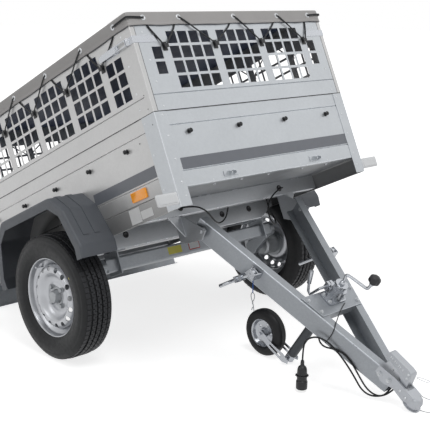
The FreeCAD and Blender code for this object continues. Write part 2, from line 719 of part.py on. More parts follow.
def swing_arms():
    """A trailing arm each side, from the axle tube's end to the stub that carries the hub."""
    x0 = -AXLE_HALF_LENGTH - TOUCH_GAP - ARM_THICKNESS
    x1 = -AXLE_HALF_LENGTH - TOUCH_GAP
    pivot = V(x0, AXLE_TUBE_PLACE, AXLE_TUBE_HEIGHT)
    hub = V(x0, AXLE_PLACE, AXLE_HEIGHT)
    along = hub - pivot
    side = V(0, -along.z, along.y)
    side.normalize()
    side = side * (ARM_RADIUS * 0.8)
    web = face_of([pivot + side, hub + side, hub - side, pivot - side]).extrude(V(ARM_THICKNESS, 0, 0))
    one = joined([Part.makeCylinder(ARM_RADIUS, ARM_THICKNESS, pivot, X_AXIS),
                  Part.makeCylinder(ARM_RADIUS, ARM_THICKNESS, hub, X_AXIS), web,
                  Part.makeCylinder(STUB_RADIUS, x0 + HALF_TRACK + 10, V(-HALF_TRACK - 10, hub.y, hub.z), X_AXIS)])
    return Part.Compound([one, mirrored(one)])


def hinge_brackets():
    """A plate with a tapered front tab each side, hung from the front member, with the pin."""
    x1 = -beam_half(-BEAM_TAIL) - MOVING_GAP
    x0 = x1 - HINGE_PLATE
    under = FLOOR_HEIGHT - MEMBER_HEIGHT
    web = FRONT_MEMBER_PLACE
    outline = [(web + MEMBER_DEPTH, under), (web - HINGE_PLATE, under), (HINGE_PLACE + 22, HINGE_HEIGHT + 40),
               (HINGE_PLACE - 30, HINGE_HEIGHT - 4), (HINGE_PLACE + 4, HINGE_HEIGHT - 34),
               (HINGE_PLACE + 100, HINGE_HEIGHT - 28), (web + MEMBER_DEPTH, HINGE_HEIGHT - 12)]
    plate = prism_along_x(outline, x0, x1)
    foot = block(x0 - 40, x1, web, web + MEMBER_DEPTH, under - 5, under)
    tab = prism_along_y([(x0 - HINGE_TAB_WIDTH, under), (x1, under), (x1, HINGE_HEIGHT + 2),
                         (x0 - 4, HINGE_HEIGHT + 2)], web - HINGE_PLATE, web)
    boss_radius = HINGE_PIN_RADIUS + 6
    boss_end = -beam_half(-boss_radius) - TOUCH_GAP
    pin_end = -beam_half(0) + BEAM_SHEET + 8
    centre = V(x0 - 6, HINGE_PLACE, HINGE_HEIGHT)
    pin = Part.makeCylinder(HINGE_PIN_RADIUS, pin_end - centre.x, centre, X_AXIS)
    boss = Part.makeCylinder(boss_radius, boss_end - x1, V(x1, HINGE_PLACE, HINGE_HEIGHT), X_AXIS)
    one = joined([plate, foot, tab, pin, boss])
    return Part.Compound([one, mirrored(one)])


def latch_brackets():
    """Two pressed catches low on the front board for the drawbar's swing bolts."""
    low = FLOOR_HEIGHT + LATCH_RISE
    high = low + LATCH_HEIGHT
    ear = [(SKIN - LATCH_SHEET, low), (SKIN - LATCH_REACH, low + 4), (SKIN - LATCH_REACH, high - 10),
           (SKIN - LATCH_SHEET, high - 2)]
    found = []
    for x in (-LATCH_PLACE, LATCH_PLACE):
        shapes = [block(x - LATCH_HALF, x + LATCH_HALF, SKIN - LATCH_SHEET, SKIN, low, high)]
        for side in (-1, 1):
            edge = x + side * (SWING_BOLT_RADIUS + 2)
            shapes.append(prism_along_x(ear, min(edge, edge + side * 4), max(edge, edge + side * 4)))
        found.append(joined(shapes))
    return Part.Compound(found)


def corner_latch():
    """A toggle latch: a strap on the end wall's corner and a lever with its loop on the side wall."""
    x = -HALF_BED
    z = TOGGLE_HEIGHT
    half = TOGGLE_WIDTH / 2
    strap = prism_along_z([(x - 2, 46), (x - 2, -2), (x + TOGGLE_STRAP, -2), (x + TOGGLE_STRAP, 0), (x, 0), (x, 46)],
                          z - half + 3, z + half - 3)
    catch = prism_along_z([(x - 2, 24), (x - 12, 30), (x - 12, 33), (x - 2, 36)], z - half + 3, z + half - 3)
    strap = joined([strap, catch])
    base = block(x - 2, x, 96, 206, z - half, z + half)
    lever = prism_along_z([(x - 2, 100), (x - 15, 104), (x - 13, 132), (x - 8, 222), (x - 5, 222), (x - 5, 136),
                           (x - 2, 132)], z - half + 4, z + half - 4)
    loop = [block(x - 11.5, x - 8, 36.8, 112, z + s * (half - 6) - 2, z + s * (half - 6) + 2) for s in (-1, 1)]
    loop.append(block(x - 11.5, x - 8, 36.8, 41, z - half + 6, z + half - 6))
    return [strap, joined([base, lever] + loop)]


def corner_latches():
    found = []
    for shape in corner_latch():
        found += [shape, mirrored(shape), turned_round(shape), mirrored(turned_round(shape))]
    return Part.Compound(found)


def wheel_place():
    return V(-HALF_TRACK, 0, TYRE_RADIUS)


def tyre():
    half = TYRE_WIDTH / 2
    seat = RIM_HALF_WIDTH - RIM_WALL - FLANGE_SLOPE - 6
    outline = [(-seat, BEAD_RADIUS), (-half, RIM_FLANGE_RADIUS + 33), (-half + 4, TYRE_RADIUS - 22),
               (-half + TREAD_SHOULDER, TYRE_RADIUS)]
    outline += [(-a, r) for a, r in outline[::-1]]
    return turned(outline, wheel_place(), X_AXIS)


def rim():
    """A pressed steel wheel: a drop-centre barrel and a dished disc with vents."""
    w = RIM_HALF_WIDTH
    t = RIM_WALL
    seat = BEAD_RADIUS - TOUCH_GAP
    outer = [(-w, RIM_FLANGE_RADIUS), (-w + t, RIM_FLANGE_RADIUS), (-w + t + FLANGE_SLOPE, seat), (-w + 30, seat),
             (-w + 42, DROP_RADIUS), (w - 46, DROP_RADIUS), (w - 34, seat), (w - t - FLANGE_SLOPE, seat),
             (w - t, RIM_FLANGE_RADIUS), (w, RIM_FLANGE_RADIUS)]
    inner = [(w - 6, seat - t), (w - 33, seat - t), (w - 45, DROP_RADIUS - t), (-w + 41, DROP_RADIUS - t),
             (-w + 29, seat - t), (-w + 6, seat - t)]
    barrel = turned([(-a, r) for a, r in outer + inner], wheel_place(), X_AXIS)
    face = [(18, DROP_RADIUS - t), (36, DROP_RADIUS - t - 1), (49, VENT_CIRCLE - 6), (44, VENT_CIRCLE - 26), (20, 84),
            (24, 70), (24, 30)]
    back = [(a - 4, r) for a, r in face[::-1]]
    disc = turned([(-a, r) for a, r in face + back], wheel_place(), X_AXIS)
    tools = wheel_pattern(VENT_COUNT, VENT_CIRCLE, VENT_RADIUS, -60, 32)
    tools += wheel_pattern(BOLT_COUNT, BOLT_CIRCLE, WHEEL_BOLT_RADIUS + 1, -60, 60)
    return barrel.fuse(disc).cut(Part.Compound(tools))


def wheel_pattern(count, circle, radius, start, length):
    """Cylinders along the axle, evenly round a circle of the right-hand wheel."""
    centre = wheel_place()
    found = []
    for i in range(count):
        angle = 2 * math.pi * (i + 0.5) / count
        spot = V(centre.x + start, centre.y + circle * math.cos(angle), centre.z + circle * math.sin(angle))
        found.append(Part.makeCylinder(radius, length, spot, X_AXIS))
    return found


def hub():
    """The wheel hub with its flange, four wheel bolts and dust cap."""
    bore = STUB_RADIUS + TOUCH_GAP
    outline = [(-76, bore), (-76, HUB_RADIUS - 8), (-66, HUB_RADIUS), (10, HUB_RADIUS), (10, 66), (20 - TOUCH_GAP, 66),
               (20 - TOUCH_GAP, CAP_RADIUS + 1), (50, CAP_RADIUS - 1), (54, CAP_RADIUS - 6), (54, 0), (11, 0), (11, bore)]
    body = turned([(-a, r) for a, r in outline], wheel_place(), X_AXIS)
    shanks = wheel_pattern(BOLT_COUNT, BOLT_CIRCLE, WHEEL_BOLT_RADIUS, -36, 26)
    heads = wheel_pattern(BOLT_COUNT, BOLT_CIRCLE, WHEEL_BOLT_RADIUS + 3.5, -35 - TOUCH_GAP, 11)
    return joined([body] + shanks + heads)


def beam_half(d):
    """The drawbar beam's outer face, half its spread, at d from the pin."""
    return BEAM_HALF_SPREAD - d * math.tan(math.radians(BEAM_ANGLE))


def band(outer, inner, d0, d1, n0, n1):
    """A slab that runs along the right beam, from outer to inner measured in from its outer face."""
    corners = [(-beam_half(d0) + outer, d0), (-beam_half(d1) + outer, d1), (-beam_half(d1) + inner, d1),
               (-beam_half(d0) + inner, d0)]
    return prism_along_z([(x, -d) for x, d in corners], n0, n1)


def drawbar_beam():
    """The right-hand beam: a channel open inwards, cut square at the nose and along the middle plane."""
    top = BEAM_TOP
    low = BEAM_TOP - BEAM_WEB
    t = BEAM_SHEET
    body = joined([band(0, t, -BEAM_TAIL, BEAM_REACH, low, top),
                   band(0, BEAM_FLANGE, -BEAM_TAIL, BEAM_REACH, top - t, top),
                   band(0, BEAM_FLANGE, -BEAM_TAIL, BEAM_REACH, low, low + t)])
    body = body.cut(block(-TOUCH_GAP / 2, BEAM_FLANGE, -BEAM_REACH - 1, 0, low - 1, top + 1))
    hole_radius = HINGE_PIN_RADIUS + PIN_GAP
    return body.cut(Part.makeCylinder(hole_radius, 60, V(-beam_half(0) - 30, 0, 0), X_AXIS))


def cross_plate():
    """A folded plate on the beams' flanges that carries the jockey wheel's clamp."""
    rear = beam_half(PLATE_REAR) - PLATE_INSET
    front = beam_half(PLATE_FRONT) - PLATE_INSET
    outline = [(-rear, -PLATE_REAR), (rear, -PLATE_REAR), (front, -PLATE_FRONT), (-front, -PLATE_FRONT)]
    plate = prism_along_z(outline, PLATE_LEVEL, PLATE_LEVEL + PLATE_THICKNESS)
    fold = beam_half(PLATE_FRONT) - BEAM_FLANGE - 2
    front_fold = block(-fold, fold, -PLATE_FRONT, -PLATE_FRONT + PLATE_THICKNESS, PLATE_LEVEL - PLATE_FOLD, PLATE_LEVEL + 1)
    body = joined([plate, front_fold])
    return body.cut(Part.makeCylinder(JOCKEY_TUBE_RADIUS + 1, 80, V(0, -JOCKEY_PLACE, PLATE_LEVEL - 40)))


def head_half(d):
    """The coupling head's outer side, half its width, at d from the hinge pin."""
    return beam_half(min(d, BEAM_REACH)) + TOUCH_GAP + HEAD_WALL


def head_plan(wall):
    """The head's plan, narrowed by wall, from its rear edge to the middle of the cup."""
    places = (HEAD_REAR - 1, BEAM_REACH, CUP_PLACE)
    right = [(-head_half(d) + wall, -d) for d in places]
    return right + [(-x, y) for x, y in right[::-1]]


def coupling_head():
    """A pressed ball coupling: a tail that wraps the beams' nose and a lipped cup, open below."""
    outer = CUP_BORE + CUP_WALL
    side = [(HEAD_REAR, HEAD_TOP), (HEAD_REAR, 5), (HEAD_REAR + 35, -17), (HEAD_REAR + 55, -17), (HEAD_REAR + 90, -4),
            (CUP_PLACE - 25, CUP_MOUTH), (CUP_PLACE, CUP_MOUTH), (CUP_PLACE, HEAD_TOP)]
    tail = prism_along_x([(-d, n) for d, n in side], -HEAD_WIDE, HEAD_WIDE)
    tail = tail.common(prism_along_z(head_plan(0), CUP_MOUTH - BEAM_WEB, HEAD_TOP))
    cup = turned([(CUP_MOUTH, 0), (CUP_MOUTH, outer), (HEAD_TOP - 16, outer), (HEAD_TOP - 5, outer - 6),
                  (HEAD_TOP, outer - 17), (HEAD_TOP, 0)], V(0, -CUP_PLACE, 0), Z_AXIS)
    lip = Part.makeCylinder(outer + CUP_LIP, HEAD_WALL, V(0, -CUP_PLACE, CUP_MOUTH))
    lip = lip.cut(block(-HEAD_WIDE, HEAD_WIDE, -CUP_PLACE + CUP_BORE, 0, CUP_MOUTH - 1, HEAD_TOP))
    body = joined([tail, cup, lip])
    hollow = prism_along_z(head_plan(HEAD_WALL), CUP_MOUTH - BEAM_WEB, HEAD_TOP - HEAD_WALL)
    hollow = hollow.cut(Part.makeCylinder(outer, BEAM_WEB, V(0, -CUP_PLACE, CUP_MOUTH)))
    bore = turned([(CUP_MOUTH - 1, 0), (CUP_MOUTH - 1, CUP_BORE), (CUP_MOUTH + CUP_BORE_DEPTH, CUP_BORE),
                   (HEAD_TOP - 15, CUP_BORE * 0.8), (HEAD_TOP - 7, CUP_BORE * 0.4), (HEAD_TOP - 7, 0)],
                  V(0, -CUP_PLACE, 0), Z_AXIS)
    slot = HANDLE_WIDTH / 2 + 2
    opening = block(-slot, slot, -HANDLE_PLACE - 30, -HANDLE_PLACE + 20, HEAD_TOP - HEAD_WALL - 1, HEAD_TOP + 1)
    return body.cut(hollow).cut(bore).cut(opening)


def coupling_handle():
    """The lifting handle, a pressed hood over the head with its pin between the head's sides."""
    half = HANDLE_WIDTH / 2
    place = HANDLE_PLACE
    top = HEAD_TOP
    t = HANDLE_SHEET
    outer = [(place + 17, top), (place + 2, top + 61), (place - 21, top + 64), (place - 123, top + 55),
             (place - 123, top + 28), (place - 43, top + 22), (place - 16, top + 2), (place - 10, top - 28),
             (place + 10, top - 28)]
    inner = [(place + 17 - t, top - 1), (place + 2 - t, top + 61 - t), (place - 21, top + 64 - t),
             (place - 123 + t, top + 55 - t), (place - 123 + t, top - 1), (place - 11, top - 29),
             (place + 11 - t, top - 29)]
    body = prism_along_x([(-d, n) for d, n in outer], -half, half)
    upper = [e for e in body.Edges if e.BoundBox.XLength > 1 and e.BoundBox.ZMin > top + 50]
    body = body.makeFillet(12, upper)
    body = body.cut(prism_along_x([(-d, n) for d, n in inner], -half + t, half - t))
    reach = head_half(place) - HEAD_WALL - TOUCH_GAP
    pin = Part.makeCylinder(4, 2 * reach, V(-reach, -place, top - 18), X_AXIS)
    return joined([body, pin])


def swing_bolt():
    """A clevis on the right beam's web with the threaded bolt that ties the drawbar to the bed's catch."""
    d = SWING_PLACE
    x = -beam_half(d)
    half = CLEVIS_HALF
    base = band(-5 - TOUCH_GAP, -TOUCH_GAP, d - half, d + half, CLEVIS_LOW, CLEVIS_LOW + CLEVIS_HEIGHT)
    ears = []
    for out in (CLEVIS_NEAR, CLEVIS_FAR):
        ear = prism_along_x([(-d - half, CLEVIS_LOW), (-d + half, CLEVIS_LOW), (-d + 10, CLEVIS_LOW + CLEVIS_HEIGHT),
                             (-d - half, CLEVIS_LOW + CLEVIS_HEIGHT)], x - out - 4, x - out)
        ears.append(ear)
    web = -beam_half(d + half - 5) - TOUCH_GAP - 0.5
    bridge = block(x - CLEVIS_FAR - 4, web, -d - half, -d - half + 5, CLEVIS_LOW, CLEVIS_LOW + CLEVIS_HEIGHT)
    bolt_x = x - (CLEVIS_NEAR + CLEVIS_FAR + 4) / 2
    pivot = V(bolt_x, -d, CLEVIS_LOW + CLEVIS_HEIGHT / 2)
    end = V(bolt_x, -d + SWING_DROP * 0.47, pivot.z - SWING_DROP * 0.88)
    along = end - pivot
    along.normalize()
    pin = Part.makeCylinder(4, CLEVIS_FAR - CLEVIS_NEAR + 10, V(x - CLEVIS_FAR - 6, pivot.y, pivot.z), X_AXIS)
    eye = Part.makeCylinder(14, 17.2, V(bolt_x - 8.6, pivot.y, pivot.z), X_AXIS)
    shank = rod(pivot, end, SWING_BOLT_RADIUS)
    nuts = []
    for spot in (0.28, 0.42):
        nut = block(-NUT_HALF, NUT_HALF, -NUT_HALF, NUT_HALF, 0, NUT_HALF)
        nut.Placement = FreeCAD.Placement(pivot + along * (SWING_DROP * spot), FreeCAD.Rotation(Z_AXIS, along))
        nuts.append(nut)
    ring = Part.makeTorus(15, 3.5, pivot + along * (SWING_DROP * 0.66) + V(-SWING_BOLT_RADIUS - 14, 0, 0),
                          V(0, along.z, -along.y))
    return joined([base, bridge, pin, eye, shank, ring] + ears + nuts)


def swing_bolts():
    one = swing_bolt()
    return Part.Compound([one, mirrored(one)])


def jockey_tube():
    """The outer tube, clamped upright at the cross plate, with its cap."""
    centre = V(0, -JOCKEY_PLACE, JOCKEY_TUBE_LOW)
    tube = Part.makeCylinder(JOCKEY_TUBE_RADIUS, JOCKEY_TUBE_TOP - JOCKEY_TUBE_LOW, centre)
    bore = Part.makeCylinder(JOCKEY_TUBE_RADIUS - JOCKEY_TUBE_WALL, JOCKEY_TUBE_TOP - JOCKEY_TUBE_LOW - 6, centre)
    cap = Part.makeCylinder(JOCKEY_TUBE_RADIUS + 3, CAP_HEIGHT + 2, V(0, -JOCKEY_PLACE, JOCKEY_TUBE_TOP - 2))
    return joined([tube.cut(bore), cap])


def tube_through(points, radius):
    """A bent round bar through points, with a ball at each bend."""
    shapes = [rod(a, b, radius) for a, b in zip(points, points[1:])]
    shapes += [Part.makeSphere(radius, point) for point in points[1:-1]]
    return joined(shapes)


def jockey_crank():
    """The crank on top of the tube, with its ball knob."""
    top = JOCKEY_TUBE_TOP + CAP_HEIGHT + TOUCH_GAP
    boss = Part.makeCylinder(CRANK_RADIUS + 4.5, 14, V(0, -JOCKEY_PLACE, top))
    points = [V(0, -JOCKEY_PLACE, top + 7), V(0, -JOCKEY_PLACE + 8, top + 47), V(0, -JOCKEY_PLACE - 97, top + 74),
              V(0, -JOCKEY_PLACE - 101, top + 112)]
    r = KNOB_BALL_RADIUS
    ball = turned([(-r, 0), (-r, 9), (-0.6 * r, 0.8 * r), (0, r), (0.6 * r, 0.8 * r), (0.9 * r, 0.44 * r), (r, 0)],
                  points[-1] + V(0, 0, r - 6), Z_AXIS)
    return joined([boss, tube_through(points, CRANK_RADIUS), ball])


def jockey_clamp():
    """The cast clamp on the cross plate: a split ring with two ears for the lever's bolt."""
    base = PLATE_LEVEL + PLATE_THICKNESS + TOUCH_GAP
    place = -JOCKEY_PLACE
    ring = Part.makeCylinder(CLAMP_RADIUS, CLAMP_HEIGHT, V(0, place, base))
    foot = block(-CLAMP_FOOT, CLAMP_FOOT, place - CLAMP_RADIUS, place + CLAMP_RADIUS, base, base + 8)
    foot = foot.makeFillet(12, [e for e in foot.Edges if e.BoundBox.ZLength > 1])
    ears = block(-CLAMP_EAR, CLAMP_EAR, place + 20, place + CLAMP_EAR_REACH, base + 8, base + 42)
    body = joined([ring, foot, ears])
    body = body.cut(Part.makeCylinder(JOCKEY_TUBE_RADIUS + TOUCH_GAP, CLAMP_HEIGHT + 2, V(0, place, base - 1)))
    return body.cut(block(-2, 2, place + 10, place + CLAMP_EAR_REACH + 1, base + 8.5, base + CLAMP_HEIGHT + 1))


def clamp_lever():
    """The clamp's tightening lever, from its bolt in the ears down past the plate and up to its grip."""
    bolt = V(-CLAMP_EAR - TOUCH_GAP, -JOCKEY_PLACE + CLAMP_EAR_REACH - 12, PLATE_LEVEL + 30)
    points = [bolt, bolt + V(-40, 0, 0), bolt + V(-44, 18, -54), bolt + V(-44, 34, -48), bolt + V(-44, 50, -20),
              bolt + V(-44, 70, 32)]
    grip = rod(points[4], points[5], LEVER_RADIUS + 3.5)
    return joined([tube_through(points, LEVER_RADIUS), grip])


def jockey_leg():
    """The inner tube that the crank runs out, with the fork's swivel seat."""
    foot = JOCKEY_HUB_LEVEL + SWIVEL_HEIGHT
    top = JOCKEY_TUBE_LOW + JOCKEY_OVERLAP
    centre = V(0, -JOCKEY_PLACE, foot)
    leg = Part.makeCylinder(JOCKEY_LEG_RADIUS, top - foot, centre)
    bore = Part.makeCylinder(JOCKEY_LEG_RADIUS - JOCKEY_TUBE_WALL, top - foot, centre + Z_AXIS * 12)
    return leg.cut(bore)


def jockey_fork():
    """A pressed fork: a socket on the leg's swivel and two arms back to the wheel pin."""
    level = JOCKEY_HUB_LEVEL
    foot = level + SWIVEL_HEIGHT - TOUCH_GAP
    yoke = Part.makeCylinder(JOCKEY_LEG_RADIUS, foot - level - 8, V(0, -JOCKEY_PLACE, level + 8))
    gap = FORK_HALF_GAP
    hub_y = -JOCKEY_HUB_PLACE
    parts = [yoke]
    outline = [(-JOCKEY_PLACE - 22, level + 12), (-JOCKEY_PLACE - 14, level + 26), (-JOCKEY_PLACE + 20, level + 28),
               (hub_y - 70, level + 16), (hub_y + 8, level + 14), (hub_y + 15, level), (hub_y + 8, level - 14),
               (hub_y - 70, level - 13), (-JOCKEY_PLACE + 4, level - 4)]
    slot = [(-JOCKEY_PLACE + 26, level + 14), (hub_y - 64, level + 5), (hub_y - 64, level - 3),
            (-JOCKEY_PLACE + 26, level + 4)]
    arm = prism_along_x(outline, gap, gap + FORK_PLATE).cut(prism_along_x(slot, gap - 1, gap + FORK_PLATE + 1))
    parts += [arm, mirrored(arm)]
    parts.append(block(-gap, gap, -JOCKEY_PLACE - 13, -JOCKEY_PLACE + 13, level + 8, level + 18))
    reach = gap + FORK_PLATE + 8
    parts.append(Part.makeCylinder(JOCKEY_PIN_RADIUS, 2 * reach, V(-reach, hub_y, level), X_AXIS))
    return joined(parts)


def jockey_centre():
    return V(0, -JOCKEY_HUB_PLACE, JOCKEY_HUB_LEVEL)


def jockey_rim():
    half = JOCKEY_WHEEL_WIDTH / 2
    r = JOCKEY_RIM_RADIUS
    bore = JOCKEY_PIN_RADIUS + TOUCH_GAP
    outline = [(-half + 1, bore), (-half + 1, 18), (-5, 20), (-5, r - 8), (-half + 3, r - 4), (-half + 3, r)]
    outline += [(-a, b) for a, b in outline[::-1]]
    body = turned(outline, jockey_centre(), X_AXIS)
    centre = jockey_centre()
    for i in range(JOCKEY_RIM_HOLES):
        angle = 2 * math.pi * i / JOCKEY_RIM_HOLES
        spot = V(-8, centre.y + 37 * math.cos(angle), centre.z + 37 * math.sin(angle))
        body = body.cut(Part.makeCylinder(9, 16, spot, X_AXIS))
    return body


def jockey_tyre():
    half = JOCKEY_WHEEL_WIDTH / 2
    r = JOCKEY_WHEEL_RADIUS
    outline = [(-half + 3, JOCKEY_RIM_RADIUS + TOUCH_GAP), (-half, r - 14), (-half + 12, r)]
    outline += [(-a, b) for a, b in outline[::-1]]
    return turned(outline, jockey_centre(), X_AXIS)


def cord(name, points, radius):
    """A round cord through points: straight runs joined by arcs that touch both runs."""
    legs = [b - a for a, b in zip(points, points[1:])]
    edges = []
    start = points[0]
    smallest = 1e9
    for i in range(1, len(points) - 1):
        before = V(legs[i - 1])
        after = V(legs[i])
        cut = 0.45 * min(before.Length, after.Length)
        half_turn = before.getAngle(after) / 2
        bend = cut / math.tan(half_turn)
        smallest = min(smallest, bend)
        before.normalize()
        after.normalize()
        inward = after - before
        inward.normalize()
        first = points[i] - before * cut
        middle = points[i] + inward * (bend / math.cos(half_turn) - bend)
        last = points[i] + after * cut
        edges.append(Part.LineSegment(start, first).toShape())
        edges.append(Part.Arc(first, middle, last).toShape())
        start = last
    edges.append(Part.LineSegment(start, points[-1]).toShape())
    path = Part.Wire(edges)
    section = Part.Wire([Part.makeCircle(radius, points[0], legs[0])])
    body = path.makePipeShell([section], True, False)
    print("cord", name, "length", round(path.Length, 1), "diameter", 2 * radius, "smallest bend", round(smallest, 1))
    return body


def beside_beam(d, n, off):
    """A point off outside the right beam's web; off is negative inside its channel."""
    return V(-beam_half(d) - off, -d, n)


def feed_cable(side):
    """The lighting feed, out of the front member's grommet, in a loop, and back up to the member."""
    under = FLOOR_HEIGHT - MEMBER_HEIGHT - TOUCH_GAP
    level = FLOOR_HEIGHT - MEMBER_HEIGHT / 2
    y = FRONT_MEMBER_PLACE
    if side < 0:
        route = [(-302, 22, 0), (-301, -12, -3), (-288, -40, -9), (-254, -54, -18), (-212, -46, -38), (-174, -24, -62),
                 (-136, 4, -82), (-94, 30, -94), (-50, 46, -90), (-18, 46, -68)]
        last = V(-4, y + MEMBER_DEPTH - 2, under - 1.6)
    else:
        route = [(302, 22, 0), (302, -12, -2), (286, -42, -6), (250, -56, -10), (206, -56, -24), (166, -54, -50),
                 (138, -54, -86), (136, -50, -126), (160, -38, -154), (198, -18, -160), (228, 8, -138), (234, 26, -100),
                 (230, 30, -62)]
        last = V(230, y + 26, under - 0.6)
    points = [V(x, y + back, level + up) for x, back, up in route]
    return cord("feed", points + [last], CABLE_RADIUS)


def plug_cable():
    """The cable that leaves the coupling head, loops back along the beam and ends in the plug."""
    touch = CABLE_RADIUS + TOUCH_GAP
    nose = BEAM_REACH
    inside = head_half(nose) - HEAD_WALL - touch
    points = [V(-inside, -nose - 23, 6), V(-inside, -nose - 19, -34), V(-26, -nose - 4, -72), V(-42, -nose + 25, -101),
              V(-54, -nose + 64, -106), V(-66, -nose + 105, -84), beside_beam(758, -60, touch + 9),
              beside_beam(712, -41, touch + 10), beside_beam(668, -30, touch + 9), beside_beam(627, -27, touch + 11),
              V(-142, -592, -37), V(-171, -578, -66), V(-180, -603, -105)]
    return points + [points[-1] + down_there() * 36]


def down_there():
    """Straight down, as the level drawbar's frame sees it."""
    return V(0, -math.sin(DRAWBAR_DROP), -math.cos(DRAWBAR_DROP))


def inner_cable():
    """The cable's other end, from the head under the beam and back inside its channel."""
    touch = CABLE_RADIUS + TOUCH_GAP
    nose = BEAM_REACH
    floor = BEAM_TOP - BEAM_WEB + BEAM_SHEET + touch
    points = [V(-11, -nose - touch - 4, 0), V(-11, -nose - touch - 4, -36), V(-12, -nose - 6, -73),
              V(-24, -nose + 14, -94), V(-44, -nose + 54, -92), beside_beam(796, -60, touch + 3),
              beside_beam(750, -37, touch + 1), beside_beam(708, -27, touch), beside_beam(668, -42, touch),
              beside_beam(634, -65, touch + 2), V(-102, -600, -73), V(-83, -572, -66), V(-72, -544, -49), V(-84, -512, floor + 3), V(-108, -478, floor + 0.5),
              beside_beam(440, floor, -18), beside_beam(360, floor, -14), beside_beam(280, floor, -19),
              beside_beam(200, floor, -15), beside_beam(120, floor, -19)]
    return points + [beside_beam(60, floor, -17)]


def plug():
    """The lighting plug: gland, tapered body and collar."""
    r = PLUG_RADIUS
    outline = [(0, 0), (0, 7), (20, 8), (26, 0.72 * r), (44, 0.9 * r), (0.72 * PLUG_LENGTH, 0.9 * r),
               (0.72 * PLUG_LENGTH, r), (PLUG_LENGTH, r), (PLUG_LENGTH, 0)]
    body = turned(outline, V(0, 0, 0), Z_AXIS)
    body.Placement = FreeCAD.Placement(plug_cable()[-1], FreeCAD.Rotation(Z_AXIS, down_there()))
    return body


def lanyard_top():
    x = -beam_half(SWING_PLACE) - (CLEVIS_NEAR + CLEVIS_FAR + 4) / 2
    return V(x, -SWING_PLACE - CLEVIS_HALF + 2.5, CLEVIS_LOW - TOUCH_GAP - 1.2)


def lanyard():
    """The short blue line between the clevis and its spring clip."""
    top = lanyard_top()
    down = down_there()
    return [top, top + down * 26 + V(-2, 0, 0), top + down * 52]


def spring_clip():
    """A bent wire clip that hangs from the lanyard."""
    eye = lanyard()[-1] + down_there() * (CLIP_HALF + CLIP_WIRE)
    down = down_there()
    ring = Part.makeTorus(CLIP_HALF, CLIP_WIRE, eye, X_AXIS)
    across = V(0, down.z, -down.y)
    legs = [rod(eye + across * (s * CLIP_HALF) + down * 1.5, eye + across * (s * CLIP_HALF * 0.6) + down * CLIP_LENGTH,
                CLIP_WIRE * 0.8) for s in (-1, 1)]
    return joined([ring] + legs)


def safety_cable():
    """The thin wire that leaves the coupling head's side and lies in a loop on the ground."""
    out = head_half(BEAM_REACH)
    start = from_drawbar(V(out + 2 * TOUCH_GAP, -CUP_PLACE + 50, 0))
    nose = from_drawbar(V(0, -CUP_PLACE - CUP_BORE - CUP_WALL - CUP_LIP, CUP_MOUTH))
    ground = WIRE_RADIUS + TOUCH_GAP
    route = [(75, 63, 40), (98, 52, 19), (120, 36, 4.5), (134, 10, ground), (131, -20, ground), (112, -43, ground),
             (84, -55, ground), (54, -53, ground), (30, -38, ground), (19, -14, ground), (19, 3.2, ground)]
    points = [start, start + V(21, 0, -3)]
    return points + [V(x, nose.y + y, z) for x, y, z in route]


def to_bed(shape):
    """Turns a shape of the level bed to the parked stance."""
    turn = FreeCAD.Placement(bed_point(0, 0, 0), FreeCAD.Rotation(X_AXIS, -math.degrees(BED_TIP)))
    return shape.transformed(turn.toMatrix())


def to_drawbar(shape):
    """Turns a shape of the level drawbar to the parked stance."""
    turn = FreeCAD.Placement(HINGE, FreeCAD.Rotation(X_AXIS, math.degrees(DRAWBAR_DROP)))
    return shape.transformed(turn.toMatrix())


def from_drawbar(point):
    """A point of the level drawbar, in the parked stance."""
    turn = FreeCAD.Placement(HINGE, FreeCAD.Rotation(X_AXIS, math.degrees(DRAWBAR_DROP)))
    return turn.multVec(point)


front_board = end_board()
right_board = side_board()
front_mesh = end_mesh()
right_mesh = side_mesh()
right_guard = mudguard()
right_beam = drawbar_beam()
right_tyre = tyre()
right_rim = rim()
right_hub = hub()
right_lanyard = cord("lanyard", lanyard(), LANYARD_RADIUS)
right_clip = spring_clip()

BED_NODES = {
    "front_board": front_board,
    "tailgate": tailgate(),
    "tailgate_hinges": gate_hinges(),
    "side_board_right": right_board,
    "side_board_left": mirrored(right_board),
    "corner_posts": corner_posts(),
    "floor_panel": floor_panel(),
    "cross_members": cross_members(),
    "mesh_front": front_mesh,
    "mesh_rear": turned_round(front_mesh),
    "mesh_right": right_mesh,
    "mesh_left": mirrored(right_mesh),
    "corner_latches": corner_latches(),
    "cover": cover(),
    "cover_knobs": cover_knobs(),
    "cover_hooks": cover_hooks(),
    "side_reflectors": side_reflectors(),
    "front_reflectors": front_reflectors(),
    "lamp_beam": lamp_beam(),
    "tail_lamps": tail_lamps(),
    "mudguard_right": right_guard,
    "mudguard_left": mirrored(right_guard),
    "axle_beam": axle_beam(),
    "axle_brackets": axle_brackets(),
    "swing_arms": swing_arms(),
    "hinge_brackets": hinge_brackets(),
    "latch_brackets": latch_brackets(),
    "feed_cable_right": feed_cable(-1),
    "feed_cable_left": feed_cable(1),
}
DRAWBAR_NODES = {
    "drawbar_beam_right": right_beam,
    "drawbar_beam_left": mirrored(right_beam),
    "cross_plate": cross_plate(),
    "coupling_head": coupling_head(),
    "coupling_handle": coupling_handle(),
    "swing_bolts": swing_bolts(),
    "jockey_tube": jockey_tube(),
    "jockey_crank": jockey_crank(),
    "jockey_clamp": jockey_clamp(),
    "clamp_lever": clamp_lever(),
    "jockey_leg": jockey_leg(),
    "jockey_fork": jockey_fork(),
    "jockey_rim": jockey_rim(),
    "jockey_tyre": jockey_tyre(),
    "plug_cable": cord("plug_cable", plug_cable(), CABLE_RADIUS),
    "inner_cable": cord("inner_cable", inner_cable(), CABLE_RADIUS),
    "plug": plug(),
    "lanyard_right": right_lanyard,
    "lanyard_left": mirrored(right_lanyard),
    "spring_clips": Part.Compound([right_clip, mirrored(right_clip)]),
}
